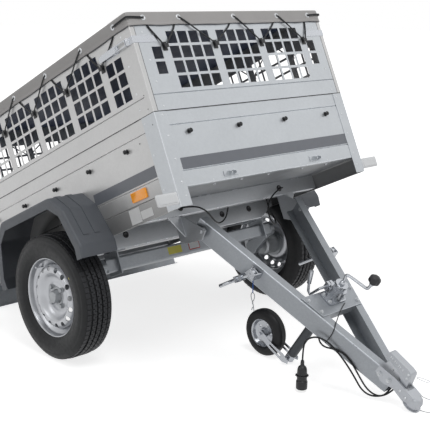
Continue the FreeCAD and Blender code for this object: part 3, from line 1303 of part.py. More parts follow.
STANDING_NODES = {
    "tyre_right": right_tyre,
    "tyre_left": mirrored(right_tyre),
    "rim_right": right_rim,
    "rim_left": mirrored(right_rim),
    "hub_right": right_hub,
    "hub_left": mirrored(right_hub),
    "safety_cable": cord("safety_cable", safety_cable(), WIRE_RADIUS),
}
CORD_NODES = ("feed_cable_right", "feed_cable_left", "plug_cable", "inner_cable", "plug", "lanyard_right", "lanyard_left",
              "spring_clips", "safety_cable")

nodes = {name: to_bed(shape) for name, shape in BED_NODES.items()}
nodes.update({name: to_drawbar(shape) for name, shape in DRAWBAR_NODES.items()})
nodes.update(STANDING_NODES)

# The frame's origin is on the ground, halfway along and across the whole trailer.
reach = Part.Compound([shape for name, shape in nodes.items() if name not in CORD_NODES]).BoundBox
shift = V(0, -(reach.YMin + reach.YMax) / 2, 0)

os.makedirs("parts", exist_ok=True)
for name, shape in nodes.items():
    placed = shape.translated(shift)
    placed.exportStep(os.path.join("parts", name + ".step"))
    print(name, "valid", placed.isValid(), "solids", len(placed.Solids), "volume", round(placed.Volume))

print("bed tip", round(math.degrees(BED_TIP), 3), "drawbar drop", round(math.degrees(DRAWBAR_DROP), 3))
print("axle", [round(v, 3) for v in (V(0, 0, TYRE_RADIUS) + shift)])
print("hinge", [round(v, 3) for v in (HINGE + shift)])
print("jockey hub level", round(JOCKEY_HUB_LEVEL, 4))
print("box", reach.YMin, reach.YMax, reach.ZMin, reach.ZMax, "shift", round(shift.y, 3))
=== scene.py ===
import json
import math

import bmesh
import bpy
from mathutils import Matrix, Vector


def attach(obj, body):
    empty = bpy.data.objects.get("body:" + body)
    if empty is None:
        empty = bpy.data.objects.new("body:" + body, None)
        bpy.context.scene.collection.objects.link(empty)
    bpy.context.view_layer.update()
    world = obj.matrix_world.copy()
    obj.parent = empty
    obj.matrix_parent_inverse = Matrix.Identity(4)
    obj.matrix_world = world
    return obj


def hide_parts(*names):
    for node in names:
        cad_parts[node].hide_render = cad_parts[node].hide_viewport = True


bl_info = {
    "name": "Utility Trailer",
    "version": (1, 0, 0),
    "blender": (4, 5, 0),
    "location": "View3D > Sidebar > Trailer",
    "description": "Dresses a single-axle utility trailer that is parked with its bed tipped back",
    "category": "Object",
}

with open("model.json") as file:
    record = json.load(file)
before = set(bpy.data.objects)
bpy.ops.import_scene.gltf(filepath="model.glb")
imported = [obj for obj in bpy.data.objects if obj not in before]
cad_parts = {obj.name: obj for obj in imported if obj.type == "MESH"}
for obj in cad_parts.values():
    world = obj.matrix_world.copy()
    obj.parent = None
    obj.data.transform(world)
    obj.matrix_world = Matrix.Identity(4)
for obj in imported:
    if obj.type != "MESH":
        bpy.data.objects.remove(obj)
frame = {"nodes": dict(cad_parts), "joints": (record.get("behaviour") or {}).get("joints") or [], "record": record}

# The level bed's frame: x across, y back from the front face, z up from the posts' feet.
# The level drawbar's frame: x across, y back from the hinge pin, z up. Both in millimetres.
MM = 0.001
JOINTS = {joint["name"]: joint for joint in frame["joints"]}
AXLE = Vector((0, *JOINTS["wheel_right_spin"]["pos_m"][1:]))
HINGE = Vector(JOINTS["drawbar_hinge"]["pos_m"])
HALF_TRACK = abs(JOINTS["wheel_right_spin"]["pos_m"][0])
BED_AXLE = Vector((0, 793, -163))
BED_HINGE = Vector((0, 201, -86))
TUBE_AXIS = Vector(JOINTS["jockey_lift"]["axis"])
DROP = math.atan2(-TUBE_AXIS.y, TUBE_AXIS.z)


def heading(y, z):
    return math.atan2(z, y)


TIP = heading(*(BED_HINGE - BED_AXLE).yz) - heading(*(HINGE - AXLE).yz)
BED_TURN = Matrix.Rotation(-TIP, 3, "X")
BAR_TURN = Matrix.Rotation(DROP, 3, "X")
TO_METRES = Matrix.Scale(MM, 4)
BED = Matrix.Translation(AXLE) @ BED_TURN.to_4x4() @ TO_METRES @ Matrix.Translation(-BED_AXLE)
BAR = Matrix.Translation(HINGE) @ BAR_TURN.to_4x4() @ TO_METRES
RIGHT_WHEEL = Matrix.Translation((-HALF_TRACK, *AXLE.yz)) @ TO_METRES
LEFT_WHEEL = Matrix.Translation((HALF_TRACK, *AXLE.yz)) @ Matrix.Rotation(math.pi, 4, "Z") @ TO_METRES
JOCKEY_WHEEL = Matrix.Translation(JOINTS["jockey_spin"]["pos_m"]) @ TO_METRES

# The trailer's own sizes that the dressing follows, in millimetres
HALF_BED = 555
BED_LENGTH = 1532
SKIN = 2
BEAM_SPREAD = 296.7
BEAM_SLOPE = 0.30076


def bed(x, y, z):
    """A point of the level bed, in the parked stance."""
    return BED @ Vector((x, y, z))


def bar(x, d, n):
    """A point d in front of the drawbar's hinge pin and n above it, in the parked stance."""
    return BAR @ Vector((x, -d, n))


def beam_half(d):
    return BEAM_SPREAD - BEAM_SLOPE * d


def beside(d, n, off):
    """A point off outside the right beam's web."""
    return bar(-beam_half(d) - off, d, n)


# Camera, solved from the photograph in the level bed's frame
EYE = (-2851, -2651, -366)
LOOK_RIGHT = (0.7213, -0.6331, -0.2810)
LOOK_DOWN = (-0.1514, 0.2517, -0.9559)
LOOK_AHEAD = (0.6759, 0.7320, 0.0856)

# Area lamps: name, place, size and power. In metres and watts.
LAMPS = (("key_lamp", (-0.9, -2.6, 5.6), 2.4, 112), ("side_lamp", (-4.8, 1.6, 3.2), 2.6, 34),
         ("fill_lamp", (3.6, -2.4, 3.4), 3.0, 12))
LAMPS_AIM = (0, -0.2, 0.5)
SKY_LIGHT = 0.3
FLOOR_REACH = 30
FLOOR_TONE = (0.62, 0.62, 0.62)
FLOOR_GLOW = (0.77, 1.05, 1.0, 3.4)  # from, to, and between which distances


def srgb(code):
    """A linear colour from a six-digit code of screen values."""
    channels = [int(code[i:i + 2], 16) / 255 for i in (0, 2, 4)]
    return [c / 12.92 if c <= 0.04045 else ((c + 0.055) / 1.055) ** 2.4 for c in channels]


def colour(name, description, code):
    return bpy.props.FloatVectorProperty(name=name, description=description, default=srgb(code),
                                         subtype="COLOR", size=3, min=0, max=1)


def length(name, description, millimetres):
    return bpy.props.FloatProperty(name=name, description=description, default=millimetres * MM,
                                   min=0, unit="LENGTH")


class TrailerColours(bpy.types.PropertyGroup):
    sheet: colour("Sheet", "Galvanised sheet of boards and mesh", "bdc1c5")
    # The side walls get their own zinc, which carries painted shade towards their foot and inside the wheel openings
    side: colour("Side sheet", "Galvanised sheet of the side walls", "c3c3c3")
    frame: colour("Frame", "Hot-dip zinc of beams, tubes and brackets", "9b9fa4")
    fitting: colour("Fittings", "Bright zinc of latches, bolts and the coupling", "b2b5ba")
    coupling: colour("Coupling", "Pressed zinc of the coupling and its handle", "b0b3b8")
    hub: colour("Hubs", "Dull zinc of the hubs and wheel bolts", "a2a5a8")
    leg: colour("Leg", "Dull zinc of the jockey wheel's leg", "44474b")
    cloth: colour("Cloth", "Outside of the cover's coated cloth", "adabaa")
    lining: colour("Lining", "Inside of the cover's coated cloth", "344872")
    elastic: colour("Elastic", "Cover's elastic cord", "1d1f23")
    plastic: colour("Plastic", "Black plastic of knobs, hooks and grips", "1c1d20")
    guard: colour("Mudguards", "Grained plastic of the mudguards", "575b61")
    rim: colour("Rims", "Silver paint of the wheels", "b3b5b9")
    rubber: colour("Rubber", "Rubber of the tyres", "1b1c1e")
    cable: colour("Cable", "Rubber of the lighting cable", "18191b")
    line: colour("Lanyard", "Blue line of the spring clips", "1355a8")
    stripe: colour("Stripes", "Grey film of the stripes", "6a6e76")
    label: colour("Labels", "White film of the blank labels", "e4e5e6")
    border: colour("Label border", "Red film round the axle's small label", "b5322e")
    yellow: colour("Yellow label", "Yellow film of the blank axle label", "d8cf4e")
    amber: colour("Amber", "Side reflectors", "f59a04")
    clear: colour("Clear", "Front reflectors", "e2e4e6")
    red: colour("Red", "Tail lamps", "8f1414")
    ply: colour("Floor", "Film-faced floor panel", "8a8d91")
    member: colour("Cross-members", "Zinc of the folded members under the floor", "b3b6ba")
    bolt: colour("Bolts", "Bright zinc of bolts and rivets", "ced1d4")
    tread: colour("Tread", "Worn rubber of the tread's blocks", "303134")


class TrailerSizes(bpy.types.PropertyGroup):
    lens: length("Lens", "Focal length of the camera", 79.33)
    spangle: length("Spangle", "Size of the zinc's crystals", 9)
    weave: length("Weave", "Pitch of the cover's weave", 1.1)
    rivet: length("Rivet", "Width of a rivet's head", 9)
    elastic: length("Elastic", "Diameter of the cover's elastic cord", 4)
    cable: length("Cable", "Diameter of the lighting cable", 7)
    groove: length("Groove", "Depth of the tyres' grooves", 7)
    pitches: bpy.props.IntProperty(name="Tread pitches", description="Blocks of one rib round a tyre", default=72,
                                   min=24, max=120)


class Nodes:
    """A node tree that is built up in steps."""

    def __init__(self, tree):
        self.tree = tree

    def plug(self, socket, value):
        if isinstance(value, bpy.types.NodeSocket):
            self.tree.links.new(value, socket)
        elif socket.type == "RGBA":
            socket.default_value = (*value, 1)
        else:
            socket.default_value = value

    def add(self, kind, inputs=None, **settings):
        node = self.tree.nodes.new(kind)
        for name, value in settings.items():
            setattr(node, name, value)
        for name, value in (inputs or {}).items():
            self.plug(node.inputs[name], value)
        return node

    def span(self, value, low, high, start=0.0, end=1.0):
        inputs = {"Value": value, "From Min": start, "From Max": end, "To Min": low, "To Max": high}
        return self.add("ShaderNodeMapRange", inputs).outputs["Result"]

    def maths(self, operation, first, second):
        return self.add("ShaderNodeMath", {0: first, 1: second}, operation=operation).outputs[0]

    def vector(self, operation, inputs, output):
        return self.add("ShaderNodeVectorMath", inputs, operation=operation).outputs[output]

    def white_to_camera(self):
        """1 for what the camera, metal or glass sees, and 0 for light that falls on the object."""
        path = self.add("ShaderNodeLightPath").outputs
        seen = self.maths("MAXIMUM", path["Is Camera Ray"], path["Is Glossy Ray"])
        return self.maths("MAXIMUM", seen, path["Is Transmission Ray"])


class Finish(Nodes):
    """A principled material, built up from procedural nodes."""

    def __init__(self, name, **sockets):
        self.material = bpy.data.materials.new(name)
        self.material.use_nodes = True
        super().__init__(self.material.node_tree)
        self.shader = self.tree.nodes["Principled BSDF"]
        self.place = self.add("ShaderNodeTexCoord").outputs["Object"]
        for name, value in sockets.items():
            self.plug(self.shader.inputs[name.replace("_", " ")], value)

    def noise(self, scale, detail=4, place=None):
        inputs = {"Vector": place or self.place, "Scale": scale, "Detail": detail, "Roughness": 0.55}
        return self.add("ShaderNodeTexNoise", inputs).outputs["Fac"]

    def mottle(self, scale, low, high, detail=4, place=None):
        """Noise, spread from low to high."""
        return self.span(self.noise(scale, detail, place), low, high, 0.3, 0.7)

    def wave(self, direction, inputs):
        inputs = {"Vector": self.place, **inputs}
        return self.add("ShaderNodeTexWave", inputs, bands_direction=direction).outputs["Fac"]

    def bed_height(self):
        """The height above the posts' feet, measured in the tipped bed."""
        from_foot = self.vector("SUBTRACT", {0: self.place, 1: bed(0, 0, 0)}, "Vector")
        return self.vector("DOT_PRODUCT", {0: from_foot, 1: BED_TURN @ Vector((0, 0, 1))}, "Value")

    def from_axle(self):
        """The distance from the wheels' axle, measured along the side walls."""
        flat = self.vector("MULTIPLY", {0: self.place, 1: (0, 1, 1)}, "Vector")
        return self.vector("DISTANCE", {0: flat, 1: AXLE}, "Value")

    def ramp(self, value, stops):
        """A value that runs through (place, share) stops."""
        low, high = stops[0][0], stops[-1][0]
        node = self.add("ShaderNodeValToRGB", {"Fac": self.span(value, 0, 1, low, high)})
        marks = node.color_ramp.elements
        while len(marks) < len(stops):
            marks.new(0.5)
        for mark, (place, _) in zip(marks, stops):
            mark.position = (place - low) / (high - low)
        for mark, (_, share) in zip(marks, stops):
            mark.color = (share, share, share, 1)
        return self.add("ShaderNodeSeparateColor", {"Color": node.outputs["Color"]}).outputs["Red"]

    def finished(self, tone, share, roughness, height, depth, strength):
        """The material, once its colour, lighter or darker by a share, its roughness and its relief are set."""
        relief = self.add("ShaderNodeBump", {"Height": height, "Distance": depth, "Strength": strength})
        for name, value in (("Base Color", self.vector("SCALE", {0: tuple(tone), "Scale": share}, 0)),
                            ("Roughness", roughness), ("Normal", relief.outputs["Normal"])):
            self.plug(self.shader.inputs[name], value)
        return self.material


# Painted shade on the side walls, darker towards their foot: (height in the level bed in metres, share of the colour)
SIDE_PAINTED_SHADE = ((-0.01, 0.42), (0.066, 0.58), (0.078, 0.72), (0.13, 0.86), (0.14, 0.97), (0.4, 1.0))
# And painted shade inside the wheel openings: (distance from the axle in metres, share of the colour)
OPENING_PAINTED_SHADE = ((0.34, 0.22), (0.37, 1.0))


def zinc(name, tone, crystal, depth, metallic, roughness, painted_shade=False):
    """Galvanised metal: crystals, a slow mottle and a little unevenness. Rounded edges get a painted highlight and are
    a little glossier, and the side walls' zinc also gets painted shade.
    """
    finish = Finish(name, Metallic=metallic)
    scale = 1 / (bpy.context.scene.trailer_sizes.spangle * crystal)
    cells = finish.add("ShaderNodeTexVoronoi", {"Vector": finish.place, "Scale": scale}).outputs["Color"]
    crystals = finish.add("ShaderNodeSeparateColor", {"Color": cells}).outputs["Red"]
    edges = finish.add("ShaderNodeAttribute", attribute_name="rounded").outputs["Fac"]
    shares = [finish.mottle(3.5, 1 - depth, 1 + depth)]
    # Painted shade on the side walls: darker towards their foot and inside the wheel openings
    if painted_shade:
        shares += [finish.ramp(finish.bed_height(), SIDE_PAINTED_SHADE), finish.ramp(finish.from_axle(), OPENING_PAINTED_SHADE)]
    total = finish.span(crystals, 1 - depth, 1 + depth)
    # The last share is a painted highlight: faces marked rounded are made up to 1.6 times lighter
    for share in (*shares, finish.span(edges, 1, 1.6)):
        total = finish.maths("MULTIPLY", total, share)
    grain = finish.mottle(14, roughness - 0.05, roughness + 0.07)
    return finish.finished(tone, total, finish.maths("SUBTRACT", grain, finish.span(edges, 0, 0.12)),
                           finish.noise(60, 3), 0.0004, 0.35)


def plain(name, tone, shades, roughness, pores, **sockets):
    """A surface of mottled colour, uneven roughness and fine pores: (size, depth, strength)."""
    finish = Finish(name, **sockets)
    scale, depth, strength = pores
    return finish.finished(tone, finish.mottle(*shades), finish.mottle(*roughness), finish.noise(scale, 2), depth,
                           strength)


def plastic(name, tone, roughness, grain):
    return plain(name, tone, (9, 0.93, 1.07), (40, roughness - 0.06, roughness + 0.06),
                 (1 / grain, grain * 0.18, 0.5), Specular_IOR_Level=0.45)


def painted(name, tone):
    return plain(name, tone, (700, 0.96, 1.04, 2), (12, 0.28, 0.38), (140, 0.0002, 0.2),
                 Metallic=0.75, Coat_Weight=0.25, Coat_Roughness=0.2)


def rubber(name, tone):
    return plain(name, tone, (22, 0.82, 1.2, 5), (70, 0.42, 0.58), (420, 0.0003, 0.35), Specular_IOR_Level=0.28)


def film(name, tone):
    """Printed film that is stuck on."""
    return plain(name, tone, (26, 0.97, 1.03, 3), (50, 0.38, 0.5), (180, 0.0001, 0.15),
                 Coat_Weight=0.3, Coat_Roughness=0.2)


def lens(name, tone, glow):
    """A moulded lens over a prism pattern, with a painted glow of its own colour."""
    finish = Finish(name, Coat_Weight=0.7, Coat_Roughness=0.06, Emission_Color=tone, Emission_Strength=glow)
    ridges = finish.wave("DIAGONAL", {"Scale": 90})
    return finish.finished(tone, finish.span(ridges, 0.9, 1.08), 0.25, ridges, 0.0003, 0.3)


def coated_cloth(name, tone):
    """Coated cloth with its scrim showing through as a fine plain weave."""
    finish = Finish(name, Specular_IOR_Level=0.4, Sheen_Weight=0.1)
    scale = 1 / bpy.context.scene.trailer_sizes.weave / 6.3
    bands = [finish.wave(direction, {"Scale": scale}) for direction in "XYZ"]
    weave = finish.maths("MAXIMUM", finish.maths("MAXIMUM", bands[0], bands[1]), bands[2])
    soil = finish.mottle(2.6, 0.93, 1.06, 5)
    folds = finish.maths("ADD", finish.maths("MULTIPLY", weave, 0.08), finish.noise(9, 3))
    return finish.finished(tone, finish.maths("MULTIPLY", soil, finish.span(weave, 0.965, 1.02)),
                           finish.mottle(30, 0.48, 0.6), folds, 0.0022, 0.55)


def braid(name, tone):
    """A braided sleeve of fine diagonal strands."""
    finish = Finish(name, Specular_IOR_Level=0.3, Sheen_Weight=0.15)
    strands = finish.wave("DIAGONAL", {"Scale": 160, "Distortion": 1.5})
    return finish.finished(tone, finish.span(strands, 0.75, 1.25), finish.span(strands, 0.5, 0.7), strands,
                           0.0003, 0.6)


def faced_ply(name, tone):
    finish = Finish(name, Coat_Weight=0.25, Coat_Roughness=0.3)
    stretched = finish.add("ShaderNodeMapping", {"Vector": finish.place, "Scale": (1, 0.12, 1)}).outputs["Vector"]
    return finish.finished(tone, finish.mottle(18, 0.75, 1.2, 5, stretched),
                           finish.mottle(18, 0.4, 0.55, 5, stretched), finish.noise(400, 2), 0.0003, 0.4)


# Each colour's maker, the name of its material and the maker's own numbers. Zinc: size of the crystals as a share,
# their contrast, metallic, roughness, and whether it carries painted shade. Plastic: roughness, grain in metres. Lens:
# strength of its painted glow.
LOOKS = {
    "sheet": (zinc, "sheet_zinc", 1, 0.02, 0.55, 0.36),
    # The side walls' zinc, with painted shade towards their foot and inside the wheel openings
    "side": (zinc, "side_zinc", 1, 0.02, 0.55, 0.36, True),
    "frame": (zinc, "frame_zinc", 0.7, 0.04, 0.6, 0.42),
    "fitting": (zinc, "bright_zinc", 0.3, 0.02, 0.85, 0.24),
    "member": (zinc, "member_zinc", 0.7, 0.03, 0.55, 0.36),
    "bolt": (zinc, "bolt_zinc", 0.3, 0.02, 0.55, 0.3),
    "coupling": (zinc, "coupling_zinc", 0.3, 0.015, 0.65, 0.34),
    "hub": (zinc, "hub_zinc", 0.3, 0.05, 0.6, 0.4),
    "leg": (zinc, "dull_zinc", 0.3, 0.03, 0.6, 0.4),
    "plastic": (plastic, "black_plastic", 0.42, 0.0012),
    "guard": (plastic, "guard_plastic", 0.5, 0.0015),
    "cloth": (coated_cloth, "cover_cloth"),
    "lining": (coated_cloth, "cover_lining"),
    "elastic": (braid, "elastic_cord"),
    "line": (braid, "blue_line"),
    "rim": (painted, "rim_paint"),
    "rubber": (rubber, "tyre_rubber"),
    "tread": (rubber, "tread_rubber"),
    "cable": (rubber, "cable_rubber"),
    "stripe": (film, "stripe_film"),
    "label": (film, "label_film"),
    "border": (film, "red_film"),
    "yellow": (film, "yellow_film"),
    # The lenses' glow is painted light: the reflectors have no lamp, and the tail lamps are not lit
    "amber": (lens, "amber_lens", 0.2),
    "clear": (lens, "clear_lens", 0.05),
    "red": (lens, "red_lens", 0.05),
    "ply": (faced_ply, "faced_ply"),
}
FINISHES = {}

# Body, finish and slot of most small pieces, and finish and slot of the cables
BED_PLASTIC = ("bed", "plastic", "knob_plastic")
BED_BOLT, BAR_BOLT = ("bed", "bolt", "fittings"), ("drawbar", "bolt", "fittings")
BAR_FITTING = ("drawbar", "fitting", "fittings")
CABLE = ("cable", "cable_rubber")

# The part's own pieces: their finish, and the radii in mm of their rounded edges, where two large faces meet and
# everywhere else
NODES = (
    ("sheet", 0.7, 0.5, "latch_brackets"),
    ("sheet", 1.6, 0.7, "front_board tailgate"),
    ("sheet", 1.7, 0.6, "corner_posts"),
    ("sheet", 1.2, 0.4, "mesh_front mesh_rear"),
    ("side", 1.6, 0.7, "side_board_right side_board_left"),
    ("side", 1.2, 0.4, "mesh_right mesh_left"),
    ("member", 2.6, 0.8, "cross_members"),
    ("member", 1.8, 1.2, "hinge_brackets"),
    ("frame", 2, 0.8, "lamp_beam"),
    ("frame", 5, 1.2, "axle_beam"),
    ("frame", 1.6, 1, "axle_brackets"),
    ("frame", 2, 1.2, "swing_arms"),
    ("frame", 3.6, 1.2, "drawbar_beam_right drawbar_beam_left"),
    ("frame", 1.6, 1.2, "cross_plate"),
    ("coupling", 3, 1.5, "coupling_head"),
    ("coupling", 3, 1.2, "coupling_handle"),
    ("fitting", 0.5, 0.5, "tailgate_hinges"),
    ("fitting", 0.7, 0.5, "corner_latches"),
    ("fitting", 0.8, 0.8, "swing_bolts jockey_tube"),
    ("fitting", 1, 1, "jockey_clamp"),
    ("fitting", 1, 0.7, "jockey_fork"),
    ("fitting", 0.8, 0.8, "clamp_lever"),
    ("leg", 1.2, 1.2, "jockey_leg"),
    ("plastic", 0.7, 0.7, "cover_hooks"),
    ("guard", 6, 2, "mudguard_right mudguard_left"),
)


def opened(mesh):
    """A mesh's faces, open for editing."""
    work = bmesh.new()
    work.from_mesh(mesh)
    return work


def closed_up(work, mesh):
    """The mesh with its edited faces."""
    work.to_mesh(mesh)
    work.free()
    return mesh


def bevelled(work, width, turn, segments=2, least=0):
    """Rounds edges that turn by more than some degrees, or the convex ones between faces of a least area in m2."""
    sharp = [e for e in work.edges if len(e.link_faces) == 2 and e.calc_face_angle(0) > math.radians(turn)
             and (not least or e.is_convex) and min(f.calc_area() for f in e.link_faces) >= least]
    return bmesh.ops.bevel(work, geom=sharp, offset=width, segments=segments, affect="EDGES", profile=0.5,
                           clamp_overlap=True)["faces"]


def mesh_of(name, points, faces):
    """A mesh with its doubles merged and its faces pointing outwards."""
    mesh = bpy.data.meshes.new(name)
    mesh.from_pydata([tuple(p) for p in points], [], faces)
    work = opened(mesh)
    bmesh.ops.remove_doubles(work, verts=work.verts, dist=1e-3)
    bmesh.ops.recalc_face_normals(work, faces=work.faces)
    return closed_up(work, mesh)


def around(count, start=0):
    """Evenly spaced angles of one turn."""
    return [2 * math.pi * (i + start) / count for i in range(count)]


def lathe(outline, steps, closed=False, lobes=0):
    """A solid of revolution about z, from (along, radius) points that start and end on the axis or close.

    Lobes swell what lies further out than 15 mm."""
    points = []
    for angle in around(steps):
        for a, r in outline:
            r *= 1 + 0.05 * math.cos(lobes * angle) * (lobes > 0 and r > 15)
            points.append((r * math.cos(angle), r * math.sin(angle), a))
    count = len(outline)
    faces = []
    for i in range(steps):
        here, there = i * count, (i + 1) % steps * count
        for j in range(count if closed else count - 1):
            k = (j + 1) % count
            faces.append((here + j, here + k, there + k, there + j))
    return mesh_of("turned", points, faces)


def prism(outline, low, high):
    """An outline of (x, y) points drawn out from low to high along z."""
    count = len(outline)
    points = [(x, y, z) for z in (low, high) for x, y in outline]
    faces = [tuple(range(count)), tuple(range(count, 2 * count))]
    faces += [(i, (i + 1) % count, (i + 1) % count + count, i + count) for i in range(count)]
    return mesh_of("prism", points, faces)


def plate(width, height, radius, steps, low, high, ease=0, segments=1):
    """A rectangle with round corners, drawn out from low to high, and its edges rounded by ease."""
    points = []
    for x, y, start in ((1, 1, 0), (-1, 1, 90), (-1, -1, 180), (1, -1, 270)):
        for i in range(steps + 1):
            angle = math.radians(start + 90 * i / steps)
            points.append((x * (width / 2 - radius) + radius * math.cos(angle),
                           y * (height / 2 - radius) + radius * math.sin(angle)))
    mesh = prism(points, low, high)
    if ease:
        work = opened(mesh)
        bevelled(work, ease, 28, segments)
        closed_up(work, mesh)
    return mesh


def joined(*meshes):
    work = bmesh.new()
    for mesh in meshes:
        work.from_mesh(mesh)
    return closed_up(work, bpy.data.meshes.new("joined"))


def placed(mesh, *moves):
    """The mesh moved by matrices, the last one first."""
    for move in reversed(moves):
        mesh.transform(move)
    return mesh


def facing(out):
    """The turn that points a shape's z along a direction."""
    return Vector(out).to_track_quat("Z", "Y").to_matrix().to_4x4()


def at(x, y, z, out=None):
    """The move to a point, with z along a direction."""
    move = Matrix.Translation((x, y, z))
    return move @ facing(out) if out else move


def twins(mesh, x, y, z, right, left):
    """The mesh at both sides of the middle, each with its z along its direction."""
    return joined(placed(mesh.copy(), at(-x, y, z, right)), placed(mesh, at(x, y, z, left)))


def linked(name, data):
    shape = bpy.data.objects.new(name, data)
    bpy.context.scene.collection.objects.link(shape)
    return shape


def mesh_from(shape):
    """The mesh that an object's modifiers or curve make."""
    return bpy.data.meshes.new_from_object(shape.evaluated_get(bpy.context.evaluated_depsgraph_get()))


def cut(mesh, tool):
    """The mesh with a tool's shape cut out of it."""
    shapes = [linked("cut", each) for each in (mesh, tool)]
    modifier = shapes[0].modifiers.new("cut", "BOOLEAN")
    modifier.operation = "DIFFERENCE"
    modifier.solver = "EXACT"
    modifier.use_self = True
    modifier.object = shapes[1]
    made = mesh_from(shapes[0])
    for shape in shapes:
        bpy.data.objects.remove(shape)
    return made


def curve_of(name, lines, radius, closed=False):
    """A round bar or cord along NURBS lines of points."""
    data = bpy.data.curves.new(name, "CURVE")
    data.dimensions = "3D"
    data.bevel_depth = radius
    data.bevel_resolution = 3
    data.use_fill_caps = True
    data.resolution_u = 10
    for line in lines:
        spline = data.splines.new("NURBS")
        spline.points.add(len(line) - 1)
        for point, place in zip(spline.points, line):
            point.co = (*place, 1)
        spline.order_u = 3
        spline.use_endpoint_u = not closed
        spline.use_cyclic_u = closed
    return data


def wire(lines, radius, closed=False):
    """The mesh of bent wires or cords along smooth lines."""
    shape = linked("wire", curve_of("wire", lines, radius, closed))
    mesh = mesh_from(shape)
    bpy.data.objects.remove(shape)
    return mesh


def creased(mesh, degrees):
    mesh.shade_smooth()
    mesh.set_sharp_from_angle(angle=math.radians(degrees))


def dressed(shape, body, finish, stands_for=()):
    shape.data.materials.clear()
    shape.data.materials.append(FINISHES[finish])
    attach(shape, body)
    if stands_for:
        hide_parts(*stands_for)
    return shape


def piece(name, mesh, place, body, finish, slot, stands_for=(), crease=40):
    """Puts a mesh drawn in a level frame into the scene, on the body it moves with."""
    mesh.transform(place)
    creased(mesh, crease)
    return dressed(linked(name, mesh), body, finish, stands_for)


def repeat_tree():
    """Geometry nodes that set a shape on every spot of a mesh, turned and sized by the spot's attributes."""
    tree = bpy.data.node_groups.new("repeat", "GeometryNodeTree")
    for name, kind in (("Spots", "Geometry"), ("Shape", "Object"), ("Scale", "Float"), ("Finish", "Material")):
        tree.interface.new_socket(name, in_out="INPUT", socket_type="NodeSocket" + kind)
    tree.interface.new_socket("Mesh", in_out="OUTPUT", socket_type="NodeSocketGeometry")
    nodes = Nodes(tree)
    given = nodes.add("NodeGroupInput").outputs
    shape = nodes.add("GeometryNodeObjectInfo", {"Object": given["Shape"]}).outputs["Geometry"]
    turn, size = (nodes.add("GeometryNodeInputNamedAttribute", {"Name": name},
                            data_type="FLOAT_VECTOR").outputs["Attribute"] for name in ("turn", "size"))
    scale = nodes.vector("SCALE", {0: size, "Scale": given["Scale"]}, 0)
    inputs = {"Points": given["Spots"], "Instance": shape, "Rotation": turn, "Scale": scale}
    instances = nodes.add("GeometryNodeInstanceOnPoints", inputs).outputs["Instances"]
    real = nodes.add("GeometryNodeRealizeInstances", {"Geometry": instances}).outputs["Geometry"]
    inputs = {"Geometry": real, "Material": given["Finish"]}
    nodes.add("NodeGroupOutput", {"Mesh": nodes.add("GeometryNodeSetMaterial", inputs).outputs["Geometry"]})
    return tree


def repeated(name, shape, spots, body, finish, slot, stands_for=()):
    """One piece made of a small shape, in millimetres, on every (matrix, size) spot."""
    seeds = bpy.data.meshes.new(name)
    turns, sizes, places = [], [], []
    for matrix, size in spots:
        place, turn, _ = matrix.decompose()
        places.append(tuple(place))
        turns += list(turn.to_euler())
        sizes += list(size)
    seeds.from_pydata(places, [], [])
    for label, values in (("turn", turns), ("size", sizes)):
        seeds.attributes.new(label, "FLOAT_VECTOR", "POINT").data.foreach_set("vector", values)
    creased(shape, 40)
    holder, pattern = linked(name, seeds), linked("pattern", shape)
    tree = bpy.data.node_groups.get("repeat") or repeat_tree()
    modifier = holder.modifiers.new("repeat", "NODES")
    modifier.node_group = tree
    inputs = {item.name: item.identifier for item in tree.interface.items_tree if item.in_out == "INPUT"}
    modifier[inputs["Shape"]] = pattern
    modifier[inputs["Scale"]] = MM
    modifier[inputs["Finish"]] = FINISHES[finish]
    made = mesh_from(holder)
    holder.modifiers.remove(modifier)
    holder.data = made
    made.name = name
    bpy.data.objects.remove(pattern)
    return dressed(holder, body, finish, stands_for)


def spot(frame_place, x, y, z, out=(0, 0, 1), size=(1, 1, 1)):
    """Where a repeated shape stands: at a point of a level frame, its z along out."""
    return frame_place @ at(x, y, z, out), size


FRONT, REAR, TO_RIGHT, TO_LEFT, UP = (0, -1, 0), (0, 1, 0), (-1, 0, 0), (1, 0, 0), (0, 0, 1)
SMALL = (0.8, 0.8, 0.8)


